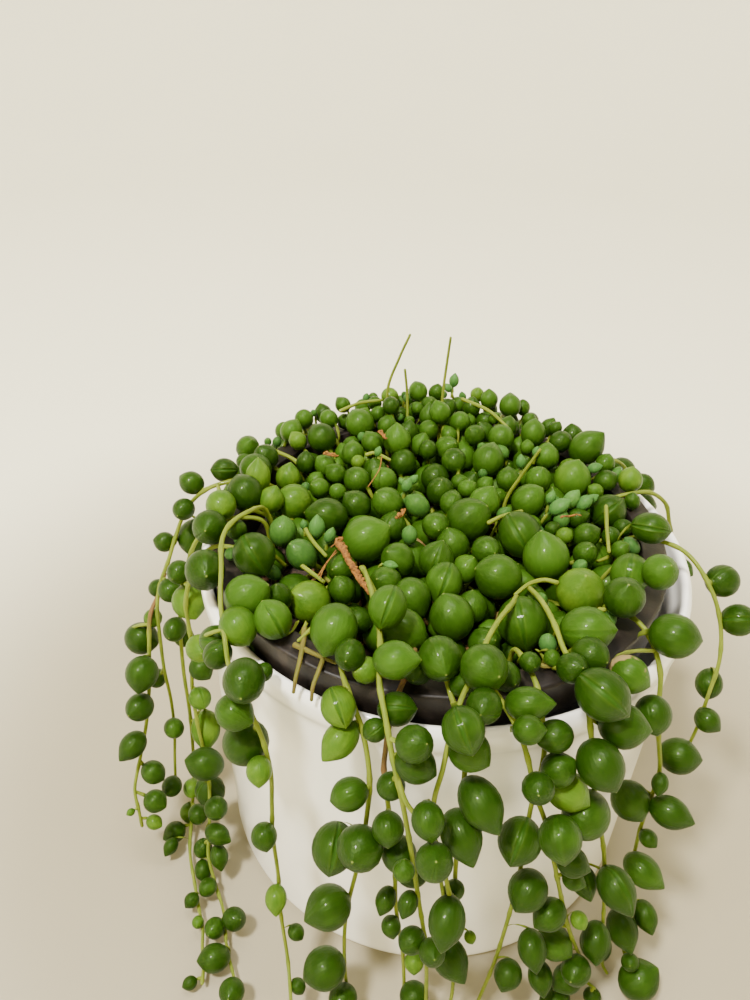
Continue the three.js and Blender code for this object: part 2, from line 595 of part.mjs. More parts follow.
// The crown's pearls: the marked ones, then a seeded fill that drops each into the lowest gap.
function growCrown() {
  for (const [x, y, height, diameter] of CROWN_MARKS) {
    const pearl = crownPearl(x, y, height, diameter / 2);
    if (pearlClears(pearl, CROWN_ROOM)) pearls.push(pearl);
  }
  const random = randomStream(CROWN_SEED);
  for (let attempt = 0; attempt < CROWN_ATTEMPTS; attempt++) {
    const radius = CROWN_SMALLEST + CROWN_RANGE * random();
    let best = null;
    for (let choice = 0; choice < CROWN_CHOICES; choice++) {
      const angle = 2 * Math.PI * random();
      const distance = CROWN_RADIUS * Math.sqrt(random());
      const x = CROWN_X + distance * Math.cos(angle);
      const y = CROWN_Y + distance * Math.sin(angle);
      const height = restHeight(x, y, radius);
      if (!best || height < best[2]) best = [x, y, height];
    }
    const [x, y, height] = best;
    if (height > CROWN_CEILING - CROWN_FALL * (x * x + y * y)) continue;
    const pearl = crownPearl(x, y, height, radius);
    if (pearlClears(pearl, CROWN_ROOM)) pearls.push(pearl);
  }
}

// The nearest point to a root on the straight stretches of a rod.
function seatOn(spine, root) {
  const edge = new THREE.Line3();
  let best = spine[0];
  for (let i = 1; i < spine.length; i++) {
    edge.set(spine[i - 1], spine[i]);
    const near = edge.closestPointToPoint(root, true, new THREE.Vector3());
    if (near.distanceTo(root) < best.distanceTo(root)) best = near;
  }
  return best;
}

// The solid of a stem: a rod with few sides along its curve.
function stemSolid({ curve, spine }, radius) {
  const section = new THREE.Shape();
  for (let i = 0; i < STEM_SIDES; i++) {
    const angle = (2 * Math.PI * i) / STEM_SIDES;
    const corner = [radius * Math.cos(angle), radius * Math.sin(angle)];
    if (i === 0) section.moveTo(...corner);
    else section.lineTo(...corner);
  }
  section.closePath();
  const steps = spine.length - 1;
  return solidOf(new THREE.ExtrudeGeometry(section, { steps, extrudePath: curve }));
}

// The solid of a pearl: a cone from its root that swells to the shoulder and closes in a point.
function pearlSolid({ root, centre, radius, axis }) {
  const outline = [[0, -centre.distanceTo(root) - PEARL_SINK]];
  for (const [height, width] of [PEARL_SHOULDER, PEARL_CROWN]) {
    outline.push([width * radius, height * radius]);
  }
  outline.push([0, PEARL_TIP * radius]);
  const points = outline.map(([width, height]) => new THREE.Vector2(width, height));
  const turn = new THREE.Quaternion().setFromUnitVectors(new THREE.Vector3(0, 1, 0), axis);
  const geometry = new THREE.LatheGeometry(points, PEARL_SIDES);
  return solidOf(geometry.applyQuaternion(turn).translate(centre.x, centre.y, centre.z));
}

// A leafy piece: its body with every pearl that grows on it.
function withPearls(body, owner) {
  let solid = body;
  for (const pearl of pearls) {
    if (pearl.owner === owner) solid = solid.add(pearlSolid(pearl));
  }
  return solid;
}

function makePlanter() {
  const rimFoot = PLANTER_HEIGHT - RIM_DEPTH;
  const outline = [
    [0, 0],
    [PLANTER_BASE_RADIUS - BASE_EDGE, 0],
    [PLANTER_BASE_RADIUS - BASE_EDGE * 0.3, BASE_EDGE * 0.3],
    [PLANTER_BASE_RADIUS, BASE_EDGE],
    [PLANTER_TOP_RADIUS, rimFoot - RIM_ROUND],
    [PLANTER_RIM_RADIUS, rimFoot + RIM_ROUND / 2],
    [PLANTER_RIM_RADIUS, PLANTER_HEIGHT - RIM_ROUND],
    [(PLANTER_RIM_RADIUS + PLANTER_MOUTH_RADIUS) / 2, PLANTER_HEIGHT],
    [PLANTER_MOUTH_RADIUS, PLANTER_HEIGHT - RIM_ROUND / 2],
    [PLANTER_MOUTH_RADIUS, rimFoot + RIM_ROUND / 2],
    [(PLANTER_MOUTH_RADIUS + PLANTER_FLOOR_RADIUS) / 2, rimFoot - SHOULDER_DROP],
    [PLANTER_FLOOR_RADIUS, PLANTER_FLOOR + FLOOR_ROUND],
    [PLANTER_FLOOR_RADIUS - FLOOR_ROUND, PLANTER_FLOOR],
    [0, PLANTER_FLOOR],
  ];
  return new THREE.Mesh(turned(outline, POT_SIDES), glaze);
}

// The nursery pot's outer radius at a height.
function nurseryRadius(height) {
  const bottom = PLANTER_FLOOR + CLEARANCE;
  const part = (height - bottom) / (LIP_TOP - LIP_THICKNESS - bottom);
  return NURSERY_BASE_RADIUS + (NURSERY_TOP_RADIUS - NURSERY_BASE_RADIUS) * part;
}

function makeNurseryPot() {
  const bottom = PLANTER_FLOOR + CLEARANCE;
  const under = LIP_TOP - LIP_THICKNESS;
  const floorTop = bottom + NURSERY_FLOOR;
  const outline = [
    [0, bottom],
    [NURSERY_BASE_RADIUS, bottom],
    [NURSERY_TOP_RADIUS, under],
    [LIP_RADIUS - SKIRT_THICKNESS, under],
    [LIP_RADIUS - SKIRT_THICKNESS, SKIRT_BOTTOM],
    [LIP_RADIUS, SKIRT_BOTTOM],
    [LIP_RADIUS, LIP_TOP - LIP_ROUND],
    [LIP_RADIUS - LIP_ROUND, LIP_TOP],
    [LIP_INNER_RADIUS, LIP_TOP],
    [nurseryRadius(floorTop) - NURSERY_WALL, floorTop],
    [0, floorTop],
  ];
  let pot = solidOf(turned(outline, POT_SIDES));
  for (let i = 0; i < DRAIN_HOLES; i++) {
    const angle = (2 * Math.PI * i) / DRAIN_HOLES;
    const x = DRAIN_RING_RADIUS * Math.cos(angle);
    const y = DRAIN_RING_RADIUS * Math.sin(angle);
    const hole = prism(DRAIN_HOLE_RADIUS, NURSERY_FLOOR * 3, HOLE_SIDES, x, y, bottom - NURSERY_FLOOR);
    pot = pot.subtract(solidOf(hole));
  }
  return new THREE.Mesh(geometryOf(pot), plastic);
}

function makeSoil(strands) {
  const bottom = PLANTER_FLOOR + CLEARANCE + NURSERY_FLOOR + CLEARANCE;
  const inside = NURSERY_WALL + CLEARANCE;
  const outline = [
    [0, bottom],
    [nurseryRadius(bottom) - inside, bottom],
    [nurseryRadius(SOIL_TOP) - inside, SOIL_TOP],
    [0, SOIL_TOP],
  ];
  let soil = solidOf(turned(outline, POT_SIDES));
  for (const { azimuth } of strands) {
    const foot = place([azimuth, ROOT_RADIUS, ROOT_BOTTOM - CLEARANCE]);
    const x = foot.x - NURSERY_X;
    const y = foot.y - NURSERY_Y;
    soil = soil.subtract(solidOf(prism(ROOT_HOLE_RADIUS, SOIL_TOP, ROOT_HOLE_SIDES, x, y, foot.z)));
  }
  return new THREE.Mesh(geometryOf(soil), earth);
}

function makeCrown(stalks) {
  const outline = [[0, CORE_PROFILE[0][1]], ...CORE_PROFILE, [0, CORE_TOP]];
  let body = solidOf(turned(outline, CORE_SIDES));
  for (const line of stalks) body = body.add(stemSolid(line, STALK_RADIUS));
  return new THREE.Mesh(geometryOf(withPearls(body, "crown")), foliage);
}

function makeStrand({ name, lines }) {
  const body = lines.map((line) => stemSolid(line, STEM_RADIUS)).reduce((all, one) => all.add(one));
  return new THREE.Mesh(geometryOf(withPearls(body, name)), foliage);
}

// A mesh under its piece's name.
function named(name, mesh) {
  mesh.name = name;
  return mesh;
}

const strands = makeStrands();
const stalks = STALKS.map((points) => lineThrough(points.map((point) => new THREE.Vector3(...point))));
for (const { name, lines } of strands) {
  for (const { samples } of lines) stems.push({ owner: name, samples, radius: STEM_RADIUS });
}
for (const { samples } of stalks) stems.push({ owner: "crown", samples, radius: STALK_RADIUS });
for (const { name, lines, lists } of strands) {
  lines.forEach((line, i) => lists[i].forEach((entry) => growPearl(name, line, entry)));
}
growCrown();

const plant = new THREE.Group();
plant.add(named("outer_pot", makePlanter()));
const nursery = new THREE.Group();
nursery.position.set(NURSERY_X, NURSERY_Y, 0);
nursery.add(named("nursery_pot", makeNurseryPot()));
nursery.add(named("soil", makeSoil(strands)));
plant.add(nursery);
plant.add(named("crown", makeCrown(stalks)));
for (const strand of strands) plant.add(named(strand.name, makeStrand(strand)));

export default plant;
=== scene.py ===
# %% [markdown]
# # A potted string of pearls
# The real thing is a trailing succulent whose leaves are round beads on thin stems. It grows in a dark
# plastic nursery pot that stands loosely in a white glazed planter, and its stems hang over the rim.
#
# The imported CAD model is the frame: it says where each piece is and how big it is. This script keeps to
# that and adds what a few flat faces can't show, such as round leaves with their windows and tips, smooth
# stems, soil, glaze and scuffed plastic. Lengths are written in millimetres, as in the CAD part, and one
# factor turns them into Blender's metres when a mesh is made.

# %% Load the frame
import math
from dataclasses import dataclass

import bpy
import numpy as np
from mathutils import Matrix, Vector


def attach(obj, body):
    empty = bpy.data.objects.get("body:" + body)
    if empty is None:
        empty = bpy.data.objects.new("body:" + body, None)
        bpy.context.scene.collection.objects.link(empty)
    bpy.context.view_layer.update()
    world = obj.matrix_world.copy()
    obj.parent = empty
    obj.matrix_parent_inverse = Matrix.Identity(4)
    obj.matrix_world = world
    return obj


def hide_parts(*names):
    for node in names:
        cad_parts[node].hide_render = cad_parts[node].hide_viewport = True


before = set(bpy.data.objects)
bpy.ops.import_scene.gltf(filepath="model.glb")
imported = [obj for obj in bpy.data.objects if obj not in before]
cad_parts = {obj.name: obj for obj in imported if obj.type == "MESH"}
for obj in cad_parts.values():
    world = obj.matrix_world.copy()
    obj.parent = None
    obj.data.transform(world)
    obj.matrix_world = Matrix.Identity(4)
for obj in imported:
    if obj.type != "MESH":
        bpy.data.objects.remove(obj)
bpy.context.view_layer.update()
MM = 0.001

# %% [markdown]
# ## The camera
# The photograph was taken from close by, above and in front of the plant, with a wide lens. Its place was
# worked out from the ellipses of the two pot rims, whose shapes give the tilt and the distance. A camera
# in Blender looks along its own -Z, so the three columns of its rotation are its right, its up and the way
# back from the view.

# %% Place the camera
CAMERA_PLACE = Vector((0.0, -183.0, 244.0)) * MM
CAMERA_PITCH = math.radians(35.5)
CAMERA_YAW = math.radians(-5.93)
CAMERA_ROLL = math.radians(1.46)
CAMERA_LENS = 30.6


def camera_turn(pitch, yaw, roll):
    """The right, the up and the back of a camera that looks down by pitch, turned by yaw and rolled."""
    forward = np.array((math.sin(yaw) * math.cos(pitch), math.cos(yaw) * math.cos(pitch), -math.sin(pitch)))
    level = np.array((math.cos(yaw), -math.sin(yaw), 0.0))
    upright = np.cross(level, forward)
    right = level * math.cos(roll) + upright * math.sin(roll)
    up = upright * math.cos(roll) - level * math.sin(roll)
    return np.column_stack((right, up, -forward))


CAMERA_TURN = camera_turn(CAMERA_PITCH, CAMERA_YAW, CAMERA_ROLL)
lens = bpy.data.cameras.new("photo_camera")
lens.lens = CAMERA_LENS
lens.clip_start = 0.01
camera = bpy.data.objects.new("photo_camera", lens)
camera.matrix_world = Matrix.Translation(CAMERA_PLACE) @ Matrix(CAMERA_TURN.tolist()).to_4x4()
bpy.context.scene.collection.objects.link(camera)
bpy.context.scene.camera = camera
print("camera at", tuple(round(value, 3) for value in CAMERA_PLACE))

# %% [markdown]
# ## Shader maths as Python
# A finish is a small sum: a bit of noise, a mask along a line, two colours mixed by it. Wiring it by hand
# hides the sum among node names. So one class gives a socket Python's own operators, and each operation
# adds its Math node. Colours and vectors have their own helpers, as a Math node would turn a colour grey.

# %% A socket with operators
def operator(operation, swapped=False):
    """A method that adds the Math node of its two values, the other way round if swapped."""
    def method(self, other):
        values = (other, self) if swapped else (self, other)
        return self.finish.node("ShaderNodeMath", {"operation": operation}, dict(enumerate(values)))

    return method


class Signal:
    """One output socket of a finish. Adding, multiplying and comparing it adds the Math nodes."""

    __add__ = __radd__ = operator("ADD")
    __sub__ = operator("SUBTRACT")
    __rsub__ = operator("SUBTRACT", swapped=True)
    __mul__ = __rmul__ = operator("MULTIPLY")
    __truediv__ = operator("DIVIDE")
    larger = operator("MAXIMUM")

    def __init__(self, finish, socket):
        self.finish = finish
        self.socket = socket

    def __abs__(self):
        return self.finish.node("ShaderNodeMath", {"operation": "ABSOLUTE"}, {0: self})

    def ramp(self, low, high):
        """0 where this is low, 1 where it is high, and a soft step between. low may be the larger one."""
        settings = {"interpolation_type": "SMOOTHSTEP"}
        if low < high:
            values = {"Value": self, "From Min": low, "From Max": high}
            return self.finish.node("ShaderNodeMapRange", settings, values)
        return 1 - self.ramp(high, low)


# %% A finish that is built by sums
class Finish:
    """A material with one Principled shader. Its set sockets stay constant, and link() drives the rest."""

    def __init__(self, name, **constants):
        self.material = bpy.data.materials.new(name)
        self.material.use_nodes = True
        self.tree = self.material.node_tree
        self.shader = self.tree.nodes["Principled BSDF"]
        for socket, value in constants.items():
            self.shader.inputs[socket.replace("_", " ")].default_value = value

    def node(self, kind, settings, inputs, output=None):
        """A node of a kind: its settings first, then the values or links of its inputs."""
        made = self.tree.nodes.new(kind)
        for key, value in settings.items():
            setattr(made, key, value)
        for key, value in inputs.items():
            socket = made.inputs[key] if isinstance(key, int) else self.named(made.inputs, key)
            self.feed(socket, value)
        outputs = [socket for socket in made.outputs if socket.enabled]
        return Signal(self, outputs[0] if output is None else self.named(made.outputs, output))

    def named(self, sockets, name):
        """The socket in use among those of one name: a Mix node has one for each kind of data."""
        return next(socket for socket in sockets if socket.name == name and socket.enabled)

    def feed(self, socket, value):
        """Links a Signal to a socket, or sets its value."""
        if isinstance(value, Signal):
            self.tree.links.new(value.socket, socket)
        elif isinstance(value, tuple) and len(value) == 3 and socket.type == "RGBA":
            socket.default_value = (*value, 1.0)
        else:
            socket.default_value = value

    def attribute(self, name):
        """The three parts of a vector that the mesh holds at each vertex."""
        whole = self.node("ShaderNodeAttribute", {"attribute_name": name}, {}, "Vector")
        split = self.node("ShaderNodeSeparateXYZ", {}, {"Vector": whole})
        parts = [Signal(self, socket) for socket in split.socket.node.outputs]
        return whole, *parts

    def place(self):
        """The point on the object, in metres."""
        return self.node("ShaderNodeTexCoord", {}, {}, "Object")

    def noise(self, where, scale, detail=3.0, roughness=0.5):
        """Cloudy noise between 0 and 1, about 0.5."""
        values = {"Vector": where, "Scale": scale, "Detail": detail, "Roughness": roughness}
        return self.node("ShaderNodeTexNoise", {}, values, "Fac")

    def scaled(self, where, by):
        """A vector with each of its parts multiplied by its own number."""
        return self.node("ShaderNodeVectorMath", {"operation": "MULTIPLY"}, {0: where, 1: by})

    def mix(self, factor, first, second):
        """A colour between two colours."""
        values = {"Factor": factor, "A": first, "B": second}
        return self.node("ShaderNodeMix", {"data_type": "RGBA"}, values)

    def bump(self, height, distance, strength=1.0):
        """Feeds the shader's Normal with the slope of a height."""
        values = {"Height": height, "Distance": distance, "Strength": strength}
        self.feed(self.shader.inputs["Normal"], self.node("ShaderNodeBump", {}, values))

    def link(self, socket, value):
        self.feed(self.shader.inputs[socket], value)


print("shader helpers are ready")

# %% [markdown]
# ## A plain studio
# A pale floor curves up into a pale wall on all sides, like a photographer's backdrop. Near the plant the
# floor is darker, partly its own darker tone and partly a painted shade round the pot, and further out it
# fades into the wall's colour. A small strong lamp above the front left gives every bead its highlight and
# the soft-edged shadows. Two weaker ones fill the shadows from above and from the front left, and a fourth
# lights the wall behind. Lengths in this cell are in metres.

# %% Floor, backdrop and lights
FLOOR_RADIUS = 0.75
BACKDROP_CURVE = 0.55
BACKDROP_TOP = 1.5
STAGE_STEPS = 96
CURVE_STEPS = 16
FLOOR_PARTS = (0.05, 0.15, 0.3, 0.5, 0.75)
# The floor near the plant is darker: partly its own tone, partly painted shade round the pot.
FLOOR_AND_SHADE_COLOURS = ((0.30, 0.26, 0.17), (0.33, 0.29, 0.19))
WALL_COLOURS = ((0.86, 0.82, 0.63), (0.89, 0.85, 0.66))
FLOOR_SHADE_FADE = (0.11, 0.28)
# Each lamp's name, place, aim, size, watts and colour.
LAMPS = [
    ("key_lamp", (-0.30, -0.46, 1.2), (0, 0, 0.09), 0.14, 34.0, (1.0, 0.97, 0.91)),
    ("top_lamp", (0.1, 0.05, 1.2), (0, 0, 0.09), 0.5, 6.0, (1.0, 0.97, 0.92)),
    ("front_lamp", (-0.7, -0.85, 0.75), (0, 0, 0.07), 0.6, 3.4, (1.0, 0.98, 0.95)),
    ("wall_lamp", (0.0, 0.1, 1.4), (0, 1.3, 0.7), 0.5, 16.0, (1.0, 0.98, 0.94)),
]
ROOM_COLOUR = (1.0, 0.97, 0.92, 1.0)
ROOM_STRENGTH = 0.075


def backdrop_profile():
    """[radius, height] of the floor's edge, the curve and the wall, in metres."""
    profile = [(FLOOR_RADIUS * part, 0.0) for part in FLOOR_PARTS]
    for step in range(CURVE_STEPS + 1):
        angle = math.pi / 2 * step / CURVE_STEPS
        out, up = math.sin(angle), 1 - math.cos(angle)
        profile.append((FLOOR_RADIUS + BACKDROP_CURVE * out, BACKDROP_CURVE * up))
    profile.append((FLOOR_RADIUS + BACKDROP_CURVE, BACKDROP_TOP))
    return profile


def new_object(name, points, faces, finish):
    """A smooth mesh of points in metres with one finish, as an object of the scene."""
    mesh = bpy.data.meshes.new(name)
    mesh.from_pydata(points, [], faces)
    mesh.shade_smooth()
    mesh.materials.append(finish.material)
    made = bpy.data.objects.new(name, mesh)
    bpy.context.scene.collection.objects.link(made)
    return made


def add_stage(finish):
    profile = backdrop_profile()
    points = [(0.0, 0.0, 0.0)]
    for radius, height in profile:
        for step in range(STAGE_STEPS):
            angle = 2 * math.pi * step / STAGE_STEPS
            points.append((radius * math.cos(angle), radius * math.sin(angle), height))
    faces = [(0, 1 + step, 1 + (step + 1) % STAGE_STEPS) for step in range(STAGE_STEPS)]
    for start in range(1, 1 + (len(profile) - 1) * STAGE_STEPS, STAGE_STEPS):
        for step in range(STAGE_STEPS):
            near, far = start + step, start + (step + 1) % STAGE_STEPS
            faces.append((near, near + STAGE_STEPS, far + STAGE_STEPS, far))
    new_object("backdrop", points, faces, finish)


def add_lamp(name, place, aim, size, power, colour):
    """A square area light in metres and watts, turned towards the point it lights."""
    light = bpy.data.lights.new(name, "AREA")
    light.size = size
    light.energy = power
    light.color = colour
    lamp = bpy.data.objects.new(name, light)
    lamp.location = place
    lamp.rotation_euler = (Vector(aim) - Vector(place)).to_track_quat("-Z", "Y").to_euler()
    bpy.context.scene.collection.objects.link(lamp)


paper = Finish("backdrop_paper", Roughness=0.6)
paper_place = paper.place()
paper_grain = paper.noise(paper_place, 9.0)
paper_flat = {0: paper.scaled(paper_place, (1, 1, 0))}
paper_reach = paper.node("ShaderNodeVectorMath", {"operation": "LENGTH"}, paper_flat, "Value")
paper_floor_and_shade = paper.mix(paper_grain, *FLOOR_AND_SHADE_COLOURS)
paper_wall = paper.mix(paper_grain, *WALL_COLOURS)
# Painted shade with the floor's own tone: darker near the plant, fading into the wall colour further out.
paper.link("Base Color", paper.mix(paper_reach.ramp(*FLOOR_SHADE_FADE), paper_floor_and_shade, paper_wall))
add_stage(paper)
for lamp in LAMPS:
    add_lamp(*lamp)
world = bpy.data.worlds.new("soft_room")
world.use_nodes = True
room_light = world.node_tree.nodes["Background"].inputs
room_light["Color"].default_value = ROOM_COLOUR
room_light["Strength"].default_value = ROOM_STRENGTH
bpy.context.scene.world = world
print("stage and lamps are in place")

# %% [markdown]
# ## Where the stems run
# Each stem leaves the soil, climbs over the lip of the nursery pot and hangs down the planter. Its route
# was read off the photograph, as an azimuth round the planter, a distance from the axis and a height.
# Azimuth 0 is the front and +90 the right. Each bead is given by how far along the stem it grows, to
# which side, and its diameter. The CAD part has the same routes, so the detailed stems lie in its solids.

# %% Sizes shared with the CAD part, in millimetres
PLANTER_HEIGHT = 101.5
PLANTER_BASE_RADIUS = 62.7
PLANTER_TOP_RADIUS = 64.5
PLANTER_RIM_RADIUS = 65.6
PLANTER_MOUTH_RADIUS = 62.6
RIM_DEPTH = 7.0
RIM_ROUND = 2.0
NURSERY_X = -2.0
NURSERY_Y = -0.6
LIP_TOP = 106.5
LIP_RADIUS = 60.0
LIP_INNER_RADIUS = 53.5
SOIL_TOP = 94.8
ROOT_RADIUS = 47.0
ROOT_BOTTOM = 82.0
ROOT_TOP = 98.0
STEM_RADIUS = 1.1
STEM_STEP = 7.4
STALK_RADIUS = 0.7

